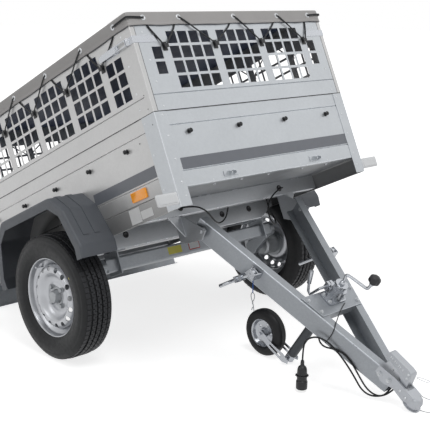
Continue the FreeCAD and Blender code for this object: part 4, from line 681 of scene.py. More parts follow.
class TRAILER_OT_stage(bpy.types.Operator):
    """Camera, lamps, floor and backdrop"""
    bl_idname = "trailer.stage"
    bl_label = "Stage"

    def execute(self, context):
        scene = context.scene
        data = bpy.data.cameras.new("camera")
        data.lens = scene.trailer_sizes.lens / MM
        camera = linked("camera", data)
        axes = [BED_TURN @ Vector(v) for v in (LOOK_RIGHT, -Vector(LOOK_DOWN), -Vector(LOOK_AHEAD))]
        camera.matrix_world = Matrix.Translation(bed(*EYE)) @ Matrix(axes).transposed().to_4x4()
        scene.camera = camera
        scene.view_settings.view_transform = "Standard"
        for name, place, size, power in LAMPS:
            data = bpy.data.lights.new(name, "AREA")
            data.size = size
            data.energy = power
            lamp = linked(name, data)
            lamp.location = place
            lamp.rotation_euler = (Vector(LAMPS_AIM) - lamp.location).to_track_quat("-Z", "Y").to_euler()
        self.sky(scene)
        self.floor()
        return {"FINISHED"}

    def sky(self, scene):
        world = bpy.data.worlds.new("studio")
        world.use_nodes = True
        scene.world = world
        nodes = Nodes(world.node_tree)
        sockets = nodes.tree.nodes["Background"].inputs
        nodes.plug(sockets["Color"], (1, 1, 1))
        nodes.plug(sockets["Strength"], nodes.span(nodes.white_to_camera(), SKY_LIGHT, 1))

    def floor(self):
        """A floor that glows a little more with its distance, and so fades into the backdrop."""
        corners = ((-1, -1), (1, -1), (1, 1), (-1, 1))
        mesh = bpy.data.meshes.new("floor")
        mesh.from_pydata([(x * FLOOR_REACH, y * FLOOR_REACH, 0) for x, y in corners], [], [(0, 1, 2, 3)])
        material = bpy.data.materials.new("floor")
        material.use_nodes = True
        nodes = Nodes(material.node_tree)
        nodes.tree.nodes.remove(nodes.tree.nodes["Principled BSDF"])
        away = nodes.vector("LENGTH", {0: nodes.add("ShaderNodeTexCoord").outputs["Object"]}, "Value")
        level = nodes.maths("MULTIPLY", nodes.white_to_camera(), nodes.span(away, *FLOOR_GLOW))
        glow = nodes.add("ShaderNodeEmission", {"Color": (1, 1, 1), "Strength": level}).outputs[0]
        diffuse = nodes.add("ShaderNodeBsdfDiffuse", {"Color": FLOOR_TONE}).outputs[0]
        total = nodes.add("ShaderNodeAddShader", {0: diffuse, 1: glow}).outputs[0]
        nodes.plug(nodes.tree.nodes["Material Output"].inputs["Surface"], total)
        mesh.materials.append(material)
        linked("floor", mesh)


def eased(node, finish, wide, narrow):
    """A copy of a node's shape with its edges rounded, in its place and on its body."""
    record = frame["record"]
    body = next(name for name, members in record["behaviour"]["bodies"].items() if node in members)
    slot = next(row["material_slot"] for row in record["subparts"] if row["node"] == node)
    work = opened(frame["nodes"][node].data)
    bmesh.ops.remove_doubles(work, verts=work.verts, dist=1e-6)
    bmesh.ops.dissolve_limit(work, angle_limit=math.radians(0.5), verts=work.verts, edges=work.edges)
    rounded = work.faces.layers.float.new("rounded")
    # Each pass marks its bevelled faces with the share of a painted highlight, which the zinc finishes make lighter
    for radius, turn, least, highlight_share in ((wide, 60, 0.004, 1), (narrow, 35, 0, 0.6)):
        for face in bevelled(work, radius * MM, turn, least=least):
            face[rounded] = max(face[rounded], highlight_share)
    mesh = closed_up(work, bpy.data.meshes.new(node + "_eased"))
    shape = piece(node + "_eased", mesh, Matrix(), body, finish, slot, (node,), crease=34)
    shape.modifiers.new("even", "WEIGHTED_NORMAL").keep_sharp = True


class TRAILER_OT_finishes(bpy.types.Operator):
    """Makes the finishes and gives them to the frame's own pieces, whose edges are rounded and, in zinc, get a painted
    highlight
    """
    bl_idname = "trailer.finishes"
    bl_label = "Finishes"

    def execute(self, context):
        for key, (maker, name, *numbers) in LOOKS.items():
            FINISHES[key] = maker(name, getattr(context.scene.trailer_colours, key), *numbers)
        for finish, wide, narrow, names in NODES:
            for name in names.split():
                eased(name, finish, wide, narrow)
        floor = frame["nodes"]["floor_panel"]
        if not floor.material_slots:
            floor.data.materials.append(None)
        for slot in floor.material_slots:
            slot.material = FINISHES["ply"]
        return {"FINISHED"}


def cord_of(name, points, diameter, finish, slot, body, node, length, far_end="object", stiffness="medium",
            lay="hanging", with_pieces=()):
    """A cord along its route's points, in metres, in place of its CAD node."""
    cable = linked(name, curve_of(name, [points], diameter / 2))
    dressed(cable, body, finish, (node,))


FEED_RIGHT = [(-302, 322, 39), (-301, 288, 36), (-288, 260, 30), (-254, 246, 21), (-212, 254, 1), (-174, 276, -23),
              (-136, 304, -43), (-94, 330, -55), (-50, 346, -51), (-18, 346, -29), (-4, 338, 4.1)]
FEED_LEFT = [(302, 322, 39), (302, 288, 37), (286, 258, 33), (250, 244, 29), (206, 244, 15), (166, 246, -11),
             (138, 246, -47), (136, 250, -87), (160, 262, -115), (198, 282, -121), (228, 308, -99), (234, 326, -61),
             (230, 330, -23), (230, 326, 5.1)]
PLUG_CABLE = [bar(-21.01, 928, 6), bar(-21.01, 924, -34), bar(-26, 909, -72), bar(-42, 880, -101), bar(-54, 841, -106),
              bar(-66, 800, -84), beside(758, -60, 12.8), beside(712, -41, 13.8), beside(668, -30, 12.8),
              beside(627, -27, 14.8), bar(-142, 592, -37), bar(-171, 578, -66), bar(-180, 603, -105)]
PLUG_TOP = PLUG_CABLE[-1] - Vector((0, 0, 36 * MM))
INNER_CABLE = [bar(-11, 912.8, 0), bar(-11, 912.8, -36), bar(-12, 911, -73), bar(-24, 891, -94), bar(-44, 851, -92),
               beside(796, -60, 6.8), beside(750, -37, 4.8), beside(708, -27, 3.8), beside(668, -42, 3.8),
               beside(634, -65, 5.8), bar(-102, 600, -73), bar(-83, 572, -66), bar(-72, 544, -49),
               bar(-84, 512, -42.2), bar(-108, 478, -44.7), beside(440, -45.2, -18), beside(360, -45.2, -14),
               beside(280, -45.2, -19), beside(200, -45.2, -15), beside(120, -45.2, -19), beside(60, -45.2, -17)]
SAFETY_LOOP = [(75, 63, 40), (98, 52, 19), (120, 36, 4.5), (134, 10, 1.8), (131, -20, 1.8), (112, -43, 1.8),
               (84, -55, 1.8), (54, -53, 1.8), (30, -38, 1.8), (19, -14, 1.8), (19, 3.2, 1.8)]
SAFETY_START = bar(29.41, 960, 0)
COUPLING_NOSE = bar(0, 1047.5, -8)
LANYARD_TOP = bar(-246.9, 283.5, -10.5)
LANYARD_DROP = 52
# The cords' real lengths in millimetres, and the thin ones' diameters in metres
FEEDS = (("right", FEED_RIGHT, 419.7), ("left", FEED_LEFT, 512.7))
PLUG_RUN, INNER_RUN, SAFETY_RUN, LANYARD_RUN = 566.2, 1023.7, 329.8, 52.1
SAFETY_WIRE, LANYARD_LINE = 0.003, 0.004


class TRAILER_OT_cords(bpy.types.Operator):
    """Lighting cables with their plug, the clips on their blue lines and the safety wire"""
    bl_idname = "trailer.cords"
    bl_label = "Cords"

    def execute(self, context):
        cable = context.scene.trailer_sizes.cable
        for side, route, run in FEEDS:
            cord_of("feed_" + side, [bed(*p) for p in route], cable, *CABLE, "bed", "feed_cable_" + side, run)
        cord_of("plug_lead", PLUG_CABLE + [PLUG_TOP], cable, *CABLE, "drawbar", "plug_cable", PLUG_RUN,
                far_end="plug", with_pieces=[self.plug()])
        cord_of("inner_lead", INNER_CABLE, cable, *CABLE, "drawbar", "inner_cable", INNER_RUN)
        for word, side in (("right", 1), ("left", -1)):
            self.lanyard(word, Vector((side, 1, 1)))
        route = [SAFETY_START, SAFETY_START + Vector((21, 0, -3)) * MM]
        route += [Vector((x * MM, COUPLING_NOSE.y + y * MM, z * MM)) for x, y, z in SAFETY_LOOP]
        cord_of("safety_wire", route, SAFETY_WIRE, "hub", "fittings", "drawbar", "safety_cable", SAFETY_RUN,
                lay="loose")
        return {"FINISHED"}

    def plug(self):
        """The plug: a ribbed gland, a waisted body with grip flutes, a collar and its keyed mouth."""
        outline = [(0, 0), (0, 6.2), (3, 7.6), (6, 6.8), (9, 8), (12, 7.1), (15, 8.4), (18, 7.6), (21, 9), (25, 14),
                   (31, 17.6), (40, 19.4), (52, 20), (78, 20), (82, 19), (84, 21.6), (87, 22.8), (114, 22.8),
                   (118, 21.4), (118, 18.5), (108, 18), (108, 0)]
        flute = plate(3.2, 34, 1.5, 2, 0, 2.2, 0.6)
        parts = [lathe(outline, 40)]
        for angle in around(14):
            parts.append(placed(flute.copy(), Matrix.Rotation(angle, 4, "Z"), at(19.4, 0, 62), facing(TO_LEFT),
                                Matrix.Rotation(math.pi / 2, 4, "Z")))
        parts.append(placed(plate(9, 24, 2, 2, 0, 3, 0.8), at(0, -20.4, 101), facing(FRONT)))
        down = Matrix.Translation(PLUG_TOP) @ Matrix.Rotation(math.pi, 4, "X") @ TO_METRES
        return piece("lighting_plug", joined(*parts), down, "drawbar", "plastic", "plug_plastic", ("plug",))

    def lanyard(self, word, mirror):
        """A spring clip that hangs on its line from a swing bolt."""
        down = Vector((0, 0, -MM))
        middle = LANYARD_TOP + down * (LANYARD_DROP / 2) - Vector((2 * MM, 0, 0))
        route = [p * mirror for p in (LANYARD_TOP, middle, LANYARD_TOP + down * LANYARD_DROP)]
        clip = [(-8, 65), (-5, 43), (0, 29), (7, 17), (10.5, 4), (7.5, -8), (0, -11), (-7.5, -8), (-10.5, 4),
                (-7, 17), (1, 28), (2, 35), (-5, 41), (-3, 49), (3, 55), (4, 63)]
        line = [(0, across, -down_by) for across, down_by in clip]
        hang = Matrix.Translation(route[-1] + down * 10.5) @ TO_METRES
        pin = piece("clip_" + word, wire([line], 1.9), hang, "drawbar", "hub", "fittings", ("spring_clips",))
        cord_of("lanyard_line_" + word, route, LANYARD_LINE, "line", "line_blue", "drawbar", "lanyard_" + word,
                LANYARD_RUN, far_end="fitting", stiffness="limp", with_pieces=[pin])


COVER_TOP = 771.6
COVER_LOW = 715.5
COVER_EASE = 4.6
COVER_DROP = 56
COVER_SAG, COVER_RIPPLE = 5, 0.9
# How far along the border an eyelet's pull reaches and lifts it, and how it bellies and droops in between
EYELET_REACH, EYELET_LIFT = 46, 2.6
BELLY, DROOP = 1.5, 1.4
CLOTH_WALL = 0.9
HALF_COVER = HALF_BED + COVER_EASE
COVER_REACH = BED_LENGTH / 2 + COVER_EASE
# How far down and how far out each ring of points of the cover's border lies
BORDER_RINGS = ((1.2, 1.2), (4, 2), (10, 2.2), (18, 2.4), (26, 2.6), (34, 2.6), (42, 2.6), (46, 2.6), (46.6, 3.5),
                (55, 3.5), (55.8, 2.6))
HOOK_LEVEL = 630
EYELET_LEVEL = 747
ELASTIC_OUT = 10.5
FRONT_EYELETS = (-480, -298, 9, 276, 481)
FRONT_HOOKS = (-408, -136, 136, 408)
SIDE_EYELETS = (87, 324, 606, 884, 1158, 1448)
SIDE_HOOKS = (222, 494, 766, 1038, 1310)
WALLS = ((FRONT, FRONT_EYELETS, FRONT_HOOKS), (REAR, FRONT_EYELETS, FRONT_HOOKS),
         (TO_RIGHT, SIDE_EYELETS, SIDE_HOOKS), (TO_LEFT, SIDE_EYELETS, SIDE_HOOKS))


def on_wall(wall, along, out, z):
    """A point off outside one of the bed's walls."""
    x, y, _ = wall
    if x:
        return Vector((x * (HALF_BED + out), along, z))
    return Vector((along, (BED_LENGTH if wall is REAR else 0) + y * out, z))


def wall_spot(wall, along, out, z, size=(1, 1, 1)):
    return spot(BED, *on_wall(wall, along, out, z), wall, size)


class TRAILER_OT_cover(bpy.types.Operator):
    """Cover: a sheet with a hanging border, a welded hem, eyelets and elastic cord round the hooks"""
    bl_idname = "trailer.cover"
    bl_label = "Cover"

    def execute(self, context):
        cloth = self.cloth()
        eyelets = [wall_spot(wall, along, 6.2, EYELET_LEVEL) for wall, places, _ in WALLS for along in places]
        ring = lathe([(-0.6, 6), (1.2, 6.2), (2.0, 7.8), (2.0, 9.6), (1.0, 11.6), (-0.6, 12)], 20, closed=True)
        rings = repeated("cover_eyelets", ring, eyelets, *BED_BOLT)
        self.elastic(context.scene.trailer_sizes.elastic / MM)
        return {"FINISHED"}

    def cloth(self):
        """The cloth, from a grid over the walls' tops whose edge is drawn down into the border."""
        across, back = 44, 60
        row = across + 1
        points = []
        for j in range(back + 1):
            for i in range(row):
                u, v = 2 * i / across - 1, 2 * j / back - 1
                slack = (1 - u ** 4) * (1 - v ** 4)
                ripple = math.sin(9 * u + 3 * v) * math.cos(11 * v - 2 * u)
                points.append((u * HALF_COVER, BED_LENGTH / 2 + v * COVER_REACH,
                               COVER_TOP - COVER_SAG * slack + COVER_RIPPLE * ripple * slack))
        faces = [(j * row + i, j * row + i + 1, (j + 1) * row + i + 1, (j + 1) * row + i)
                 for j in range(back) for i in range(across)]
        above = [*range(across), *(j * row + across for j in range(back))]
        above += [*(back * row + i for i in range(across, 0, -1)), *(j * row for j in range(back, 0, -1))]
        edge = [Vector(points[k]) for k in above]
        count = len(edge)
        for drop, out in BORDER_RINGS:
            ring = [len(points) + k for k in range(count)]
            points += [self.border(place, drop, out) for place in edge]
            faces += [(above[k], above[(k + 1) % count], ring[(k + 1) % count], ring[k]) for k in range(count)]
            above = ring
        mesh = mesh_of("cover_cloth", points, faces)
        work = opened(mesh)
        if max(work.faces, key=lambda f: f.calc_center_median().z).normal.z < 0:
            bmesh.ops.reverse_faces(work, faces=work.faces)
        cloth = piece("cover_cloth", closed_up(work, mesh), BED, "bed", "cloth", "cover_cloth", ("cover",))
        cloth.data.materials.append(FINISHES["lining"])
        smooth = cloth.modifiers.new("smooth", "SUBSURF")
        smooth.levels = smooth.render_levels = 1
        wall = cloth.modifiers.new("wall", "SOLIDIFY")
        wall.thickness = CLOTH_WALL * MM
        wall.offset = -1
        wall.material_offset = 1
        wall.material_offset_rim = 0
        cloth.data.shade_smooth()
        return cloth

    def border(self, place, drop, out):
        """A point of the border: below an edge point, drawn in at each eyelet and bellied between them."""
        x, y, _ = place
        share = drop / COVER_DROP
        side = abs(abs(x) - HALF_COVER) < 0.01
        end = abs(abs(y - BED_LENGTH / 2) - COVER_REACH) < 0.01
        along, places = (y, SIDE_EYELETS) if side else (x, FRONT_EYELETS)
        pull = math.exp(-(min(abs(along - p) for p in places) / EYELET_REACH) ** 2)
        belly = BELLY * share * (1 - pull) * (1 + math.sin(along / 31)) / 2
        lift = share * (EYELET_LIFT * pull - DROOP * (1 - pull) * math.sin(along / 53) ** 2)
        if side and end:
            belly, lift = 0.4, 0
        outward = Vector((math.copysign(side, x), math.copysign(end, y - BED_LENGTH / 2), 0))
        return Vector((x, y, COVER_TOP - share * (COVER_TOP - COVER_LOW) + lift)) + outward * (out - 1 + belly)

    def elastic(self, thick):
        """Two cords side by side, from each eyelet down round a hook and up behind the border to the next."""
        twins_apart = (0, thick + 0.3)
        lines = [self.strand(wall, eyelets[i], hook, eyelets[i + 1], i > 0, shift)
                 for wall, eyelets, hooks in WALLS for i, hook in enumerate(hooks) for shift in twins_apart]
        lines += [self.corner(end, side, EYELET_LEVEL + 1 - shift)
                  for end in (FRONT, REAR) for side in (TO_RIGHT, TO_LEFT) for shift in twins_apart]
        piece("cover_elastic", wire(lines, thick / 2), BED, "bed", "elastic", "cable_rubber")

    def strand(self, wall, start, hook, end, outside, shift):
        low = HOOK_LEVEL + 0.8 - shift
        run = hook - start
        if outside:
            route = [(start, 7, EYELET_LEVEL + 1), (start + 4, ELASTIC_OUT, EYELET_LEVEL - 4),
                     (start + 0.28 * run, ELASTIC_OUT, COVER_LOW - 2), (start + 0.6 * run, 9, 674)]
        else:
            route = [(start + 8, 1.8, COVER_LOW + 12), (start + 0.15 * run, 2.6, COVER_LOW - 3),
                     (start + 0.5 * run, 5, 675)]
        route.append((hook - 16, 7.6, 643))
        route = [(along + shift, out, z) for along, out, z in route]
        route += [(hook - 10, 7.6, low + 1), (hook + 10, 7.6, low + 1), (hook + 16 - shift, 7.6, 643),
                  (hook + 0.45 * (end - hook) - shift, 5, 676), (end - 28 - shift, 2.6, COVER_LOW - 3),
                  (end - 22 - shift, 1.8, COVER_LOW + 12)]
        return [on_wall(wall, *p) for p in route]

    def corner(self, end, side, level):
        """The outside run round one corner, between its two nearest eyelets."""
        sign, towards = side[0], -end[1]
        base = 0 if end is FRONT else BED_LENGTH
        run = [on_wall(side, base + towards * y, out, level + rise)
               for y, out, rise in ((87, 7, 0), (80, ELASTIC_OUT, 0), (44, ELASTIC_OUT, 2), (4, ELASTIC_OUT, 3))]
        run.append(Vector((sign * (HALF_BED + 9.4), base - towards * 9.4, level + 3)))
        return run + [on_wall(end, sign * x, out, level + rise) for x, out, rise in
                      ((548, ELASTIC_OUT, 3), (515, ELASTIC_OUT, 2), (487, ELASTIC_OUT, 0), (480, 7, 0))]


# Painted shadow lines, dark strips where the mesh walls' edges shade the sheet: their width, how far they stand out,
# how much shorter than their wall they are and their height under the mesh, and how far out the end meshes reach, with
# their middle and their height
SHADOW_LINE_WIDTH = 3.2
PROUD = 0.3
SHADOW_LINE_SHORT = 3
SHADOW_LINE_LEVEL = 374.2
MESH_EDGE, MESH_MIDDLE, MESH_HEIGHT = 533, 544, 336
KNOB_LEVEL = 284
# Grommets at (across, back, up): where the cables go into the front cross-member, and in the deep one behind it
GROMMETS = [(x, 299.8, 39) for x in (-302, 302)] + [(x, 604.8, 11) for x in (-380, 200, 380)]
FLOOR_UNDERSIDE = 71.9
FLOOR_SCREWS = [(x, 50) for x in (-314, -161, 0, 209, 370)]
FLOOR_SCREWS += [(x, y) for x in (-460, -230, 0, 230, 460) for y in (420, 820, 1020, 1320)]
# (place, height) of the rivets by the bed's corners: on the ends' posts, on their mesh, on the sides
POST_RIVETS = [(516, z) for z in (38, 91.5, 183, 275, 358)] + [(499, z) for z in (392, 490, 577, 690, 745)]
SIDE_RIVETS = ((71, 349), (69, 223), (70.5, 85), (71, 30), (74, 407), (68, 467), (67, 577), (66, 697))
# Punched holes on the sides, and the hole by each edge, as (place, height): drawn as dark discs of painted shade, not
# cut through
PUNCHED = ((27, 331), (29, 448), (27, 393), (133, 289))
EDGE_HOLE, EDGE_HOLE_LEVEL = 10, 345
BRACKET_RIVETS, BRACKET_LEVEL = (-356, -215, 154, 330), 81


class TRAILER_OT_wall_fittings(bpy.types.Operator):
    """Knobs, painted shadow lines, rivets, dark discs of painted shade for holes, grommets and screws of the bed's
    walls
    """
    bl_idname = "trailer.wall_fittings"
    bl_label = "Wall fittings"

    def execute(self, context):
        self.knobs()
        self.seams()
        self.rivets(context.scene.trailer_sizes.rivet / MM)
        grommet = lathe([(-0.2, 0), (-0.2, 15), (1.4, 14.6), (2.2, 12.5), (2.2, 9), (0.8, 7), (0.8, 0)], 24)
        repeated("grommets", grommet, [spot(BED, *place, FRONT) for place in GROMMETS], *BED_PLASTIC)
        screw = lathe([(0, 7), (1.2, 6.8), (3, 4.4), (3.4, 0)], 14)
        spots = [spot(BED, x, y, FLOOR_UNDERSIDE, (0, 0, -1)) for x, y in FLOOR_SCREWS]
        repeated("floor_screws", screw, spots, "bed", "fitting", "fittings")
        return {"FINISHED"}

    def knobs(self):
        head = lathe([(0, 0), (0, 10.5), (1.6, 10.3), (2.6, 8.2), (3, 5.2), (8, 4.6), (9.6, 5.2), (11, 8.8),
                      (13.6, 9.2), (15.2, 8), (15.8, 6), (14.6, 4.6), (14.4, 0)], 24)
        knob = joined(head, placed(plate(13, 4.2, 1.4, 2, 0, 4.4, 0.9), at(0, 0, 13.4)))
        spots = [wall_spot(wall, along, -SKIN, KNOB_LEVEL) for wall, _, hooks in WALLS if wall is not REAR
                 for along in hooks]
        repeated("knobs", knob, spots, *BED_PLASTIC, ("cover_knobs",))

    def seams(self):
        """Painted shadow: dark strips under the mesh walls and beside the front and rear ones."""
        def line(x, y, z, out, width, height, thick):
            return placed(plate(width, height, 0.5, 1, 0, thick), at(x, y, z), facing(out))
        parts = [line(0, SKIN, SHADOW_LINE_LEVEL, FRONT, 2 * HALF_BED - SHADOW_LINE_SHORT, SHADOW_LINE_WIDTH, SKIN + PROUD)]
        parts += [line(x, y, MESH_MIDDLE, out, SHADOW_LINE_WIDTH * 0.6, MESH_HEIGHT, PROUD)
                  for y, out in ((0, FRONT), (BED_LENGTH, REAR)) for x in (-MESH_EDGE, MESH_EDGE)]
        parts += [line(out[0] * (HALF_BED - SKIN), BED_LENGTH / 2, SHADOW_LINE_LEVEL, out, BED_LENGTH - SHADOW_LINE_SHORT,
                       SHADOW_LINE_WIDTH * 0.8, SKIN + PROUD) for out in (TO_RIGHT, TO_LEFT)]
        piece("wall_seams", joined(*parts), BED, *BED_PLASTIC)

    def rivets(self, width):
        r = width / 2
        rivet = lathe([(0, r), (0.5, r), (1.1, 0.7 * r), (1.5, 0.3 * r), (1.5, 0)], 14)
        spots, holes = [], []
        for side in (TO_RIGHT, TO_LEFT):
            for end, base, towards in ((FRONT, 0, 1), (REAR, BED_LENGTH, -1)):
                spots += [wall_spot(end, side[0] * x, 0, z) for x, z in POST_RIVETS]
                spots += [wall_spot(side, base + towards * y, 0, z) for y, z in SIDE_RIVETS]
                holes += [wall_spot(side, base + towards * y, 0, z, (0.55, 0.55, 0.25)) for y, z in PUNCHED]
                holes.append(wall_spot(side, base + towards * EDGE_HOLE, -SKIN, EDGE_HOLE_LEVEL, (0.5, 0.5, 0.25)))
        spots += [wall_spot(FRONT, x, -SKIN, BRACKET_LEVEL, SMALL) for x in BRACKET_RIVETS]
        repeated("rivets", rivet, spots, *BED_BOLT)
        # Dark discs of painted shade stand for the holes
        repeated("punched_holes", lathe([(0, r), (0.8, r), (0.8, 0)], 12), holes, *BED_PLASTIC)


AXLE_LABEL = (625, -99)
# Name, width, height, corners' radius, thickness, place in the level bed, direction and finish of each film
FILMS = (
    ("stripe_front", 993, 46, 1, 0.5, (4.5, SKIN, 161.5), FRONT, "stripe"),
    ("stripe_right", 430, 46, 1, 0.5, (-HALF_BED + SKIN, 302, 165), TO_RIGHT, "stripe"),
    ("stripe_left", 430, 46, 1, 0.5, (HALF_BED - SKIN, 302, 165), TO_LEFT, "stripe"),
    ("label_tall", 70, 60, 2, 0.5, (-HALF_BED + SKIN, 283, 37), TO_RIGHT, "label"),
    ("label_small", 74, 33, 2, 0.5, (-HALF_BED + SKIN, 208, 29), TO_RIGHT, "label"),
    ("label_yellow", 80, 34, 2, 0.5, (-122, *AXLE_LABEL), FRONT, "yellow"),
    ("label_border", 66, 34, 3, 0.4, (-5, *AXLE_LABEL), FRONT, "border"),
    ("label_axle", 58, 26, 2, 0.7, (-5, *AXLE_LABEL), FRONT, "label"),
)


class TRAILER_OT_films(bpy.types.Operator):
    """Grey stripes and blank labels"""
    bl_idname = "trailer.films"
    bl_label = "Stripes and labels"

    def execute(self, context):
        for name, width, height, radius, thick, place, out, finish in FILMS:
            mesh = placed(plate(width, height, radius, 3, 0, thick), at(*place), facing(out))
            piece(name, mesh, BED, "bed", finish, "cover_cloth" if finish == "stripe" else "clear")
        return {"FINISHED"}


# The lamps' places in the level bed, as (out from the middle, back, up), and how far out each tail lens sits
AMBER_AT = (HALF_BED - SKIN, 221, 106)
WHITE_AT = (HALF_BED + 53, 0.4, 36)
TAIL_AT = (517, 1562, -16)
TAIL_LENSES = (("red", 588), ("amber", 519), ("clear", 450))


class TRAILER_OT_lamps(bpy.types.Operator):
    """Amber side reflectors, white front reflectors and tail lamps"""
    bl_idname = "trailer.lamps"
    bl_label = "Lamps"

    def execute(self, context):
        amber = twins(plate(96, 40, 4, 3, 0, 7.6, 1.6, 2), *AMBER_AT, TO_RIGHT, TO_LEFT)
        piece("amber_reflectors", amber, BED, "bed", "amber", "amber", ("side_reflectors",))
        white = joined(plate(105, 47, 6, 4, -7.8, 0, 2, 2), plate(88, 32, 4, 3, 0, 1.6, 0.6))
        white = twins(white, *WHITE_AT, FRONT, FRONT)
        piece("white_reflectors", white, BED, "bed", "clear", "clear", ("front_reflectors",))
        for finish, out in TAIL_LENSES:
            lens_pair = twins(plate(66, 78, 5, 3, 10, 37.6, 2.4, 2), out, *TAIL_AT[1:], REAR, REAR)
            piece("tail_lens_" + finish, lens_pair, BED, "bed", finish, "lamp_plastic", ("tail_lamps",))
        housings = twins(plate(209, 83, 9, 4, 0.2, 11, 1.5, 2), *TAIL_AT, REAR, REAR)
        piece("tail_housings", housings, BED, *BED_PLASTIC)
        return {"FINISHED"}


# A tyre's section from bead to bead: (across, radius), the tread's floor between its grooves
TYRE_HALF = [(50, 167), (60, 169.5), (66, 176), (68, 186), (70.5, 189), (73, 200), (75.6, 214), (75.9, 224),
             (74.6, 234), (72.2, 241), (72.6, 243), (71, 247), (67.5, 255), (64, 259.5), (60, 262)]
TREAD_RADIUS = 268.5
TREAD_GAP = 3.4
SHOULDER_AT, SHOULDER_WIDTH, SHOULDER_RADIUS = 50.5, 17.5, 265.2
RIBS_AT, RIB_WIDTH, RIB_RADIUS = (-25.5, 0, 25.5), 9, 268.4
STAGGER = ((-1, 0), (1, 0.5))  # side, and its blocks' shift in pitches
SIDEWALL_MARK_AT = (-72.9, 0, 200)
VALVE_AT = (148, 0, 26)
RIM_HOLES, RIM_HOLE_AT = 16, 123
BOLT_CIRCLE = 49


class TRAILER_OT_wheels(bpy.types.Operator):
    """Tyres with their tread, pressed rims, hubs with bolts and caps"""
    bl_idname = "trailer.wheels"
    bl_label = "Wheels"

    def execute(self, context):
        sizes = context.scene.trailer_sizes
        outline = [(-a, r) for a, r in TYRE_HALF] + TYRE_HALF[::-1]
        for word, place in (("right", RIGHT_WHEEL), ("left", LEFT_WHEEL)):
            turn = place @ facing(TO_RIGHT)
            body = "wheel_" + word
            piece("tyre_casing_" + word, lathe(outline, 128, closed=True), turn, body, "rubber", "tyre_rubber",
                  ("tyre_" + word,))
            self.tread(word, place, body, sizes.groove / MM, sizes.pitches)
            piece("wheel_rim_" + word, self.rim(), turn, body, "rim", "rim_paint", ("rim_" + word,), crease=35)
            piece("wheel_hub_" + word, self.hub(), turn, body, "hub", "fittings", ("hub_" + word,), crease=35)
        return {"FINISHED"}

    def tread(self, word, place, body, depth, count):
        """Ribs of blocks: long sipes on the shoulders, short ones from each side of the middle ribs."""
        pitch = 2 * math.pi * TREAD_RADIUS / count
        rows = [(side * SHOULDER_AT, SHOULDER_WIDTH, shift, SHOULDER_RADIUS) for side, shift in STAGGER]
        rows += [(middle + side * RIB_WIDTH / 2, RIB_WIDTH, shift, RIB_RADIUS)
                 for middle in RIBS_AT for side, shift in STAGGER]
        spots = [(place @ Matrix.Rotation(angle, 4, "X") @ at(across, 0, radius - depth),
                  (width, pitch - TREAD_GAP, depth))
                 for across, width, shift, radius in rows for angle in around(count, shift)]
        block = plate(1, 1, 0.08, 1, 0, 1, 0.04)
        repeated("tread_" + word, block, spots, body, "tread", "tyre_rubber")
        mark = placed(plate(9, 4, 1.5, 3, 0, 0.4), Matrix.Rotation(0.9, 4, "X"), at(*SIDEWALL_MARK_AT),
                      facing((-1, 0, 0.2)))
        piece("sidewall_mark_" + word, mark, place, body, "yellow", "clear")

    def rim(self):
        """A barrel, a dished disc with round holes, and the valve."""
        barrel = [(64, 181), (62.6, 183.2), (60.4, 182.2), (59, 177), (56.5, 168.5), (50, 166), (36, 165.6),
                  (30, 162), (24, 146), (19, 141), (10, 140), (-14, 140), (-22, 143), (-30, 162), (-36, 165.6),
                  (-54, 166), (-59, 177), (-61, 183), (-64, 182.4), (-61, 171), (-56, 163.6), (-36, 162.6), (-28, 160),
                  (-20, 140.5), (-12, 137), (12, 137), (20, 138.4), (26, 146), (32, 159), (38, 162.6), (52, 163),
                  (57.5, 166), (61, 175)]
        disc = [(14, 137.4), (30, 137), (38, 134.5), (45, 129), (48.6, 122), (49.4, 114), (48, 106), (43, 99),
                (33, 92), (24, 84), (20.5, 76), (20, 68), (21.5, 60), (24, 54), (24, 28), (20.6, 28), (20.6, 53),
                (18, 60), (16.5, 68), (17, 77), (20.5, 86), (30, 95), (40, 101.5), (44.4, 108), (45.8, 115),
                (45, 121.5), (41.6, 126.5), (35.5, 131), (28, 133.4), (14, 133.6)]
        pegs = []
        for angle in around(RIM_HOLES, 0.5):
            x, y = math.cos(angle), math.sin(angle)
            peg = lathe([(-24, 0), (-24, 11.5), (24, 11.5), (24, 0)], 20)
            slope = facing(Vector((x, y, 1.5)).normalized())
            pegs.append(placed(peg, at(RIM_HOLE_AT * x, RIM_HOLE_AT * y, 45), slope))
        valve = lathe([(0, 4), (14, 4), (15, 3), (26, 3), (27, 4.4), (36, 4.4), (37.5, 3), (37.5, 0)], 12)
        return joined(lathe(barrel, 96, closed=True), cut(lathe(disc, 96, closed=True), joined(*pegs)),
                      placed(valve, Matrix.Rotation(2.3, 4, "Z"), at(*VALVE_AT)))

    def hub(self):
        """A hub with its cap, a bright ring and the wheel bolts."""
        hub = [(-76, 16.5), (-76, 44), (-66, 52), (10, 52), (10, 65), (19.6, 65), (19.6, 31), (26, 30), (30, 29),
               (33, 27), (46, 26.4), (51, 24), (54, 18), (54.4, 0), (11, 0), (11, 16.5)]
        ring = lathe([(24.2, 31), (27, 31.5), (27, 40), (25, 42), (24.2, 42)], 48, closed=True)
        bolt = joined(lathe([(0, 0), (0, 11), (2.4, 11), (3.6, 9.8), (3.6, 0)], 24),
                      lathe([(3, 0), (3, 10), (12, 10), (13.6, 8.4), (13.6, 0)], 6))
        bolts = [placed(bolt.copy(), at(BOLT_CIRCLE * math.cos(angle), BOLT_CIRCLE * math.sin(angle), 23.6))
                 for angle in around(4, 0.5)]
        return joined(lathe(hub, 64), ring, *bolts)


TUBE_TOP = 123.3
TUBE_AT = (0, -495)
CRANK_END = (0, -596)


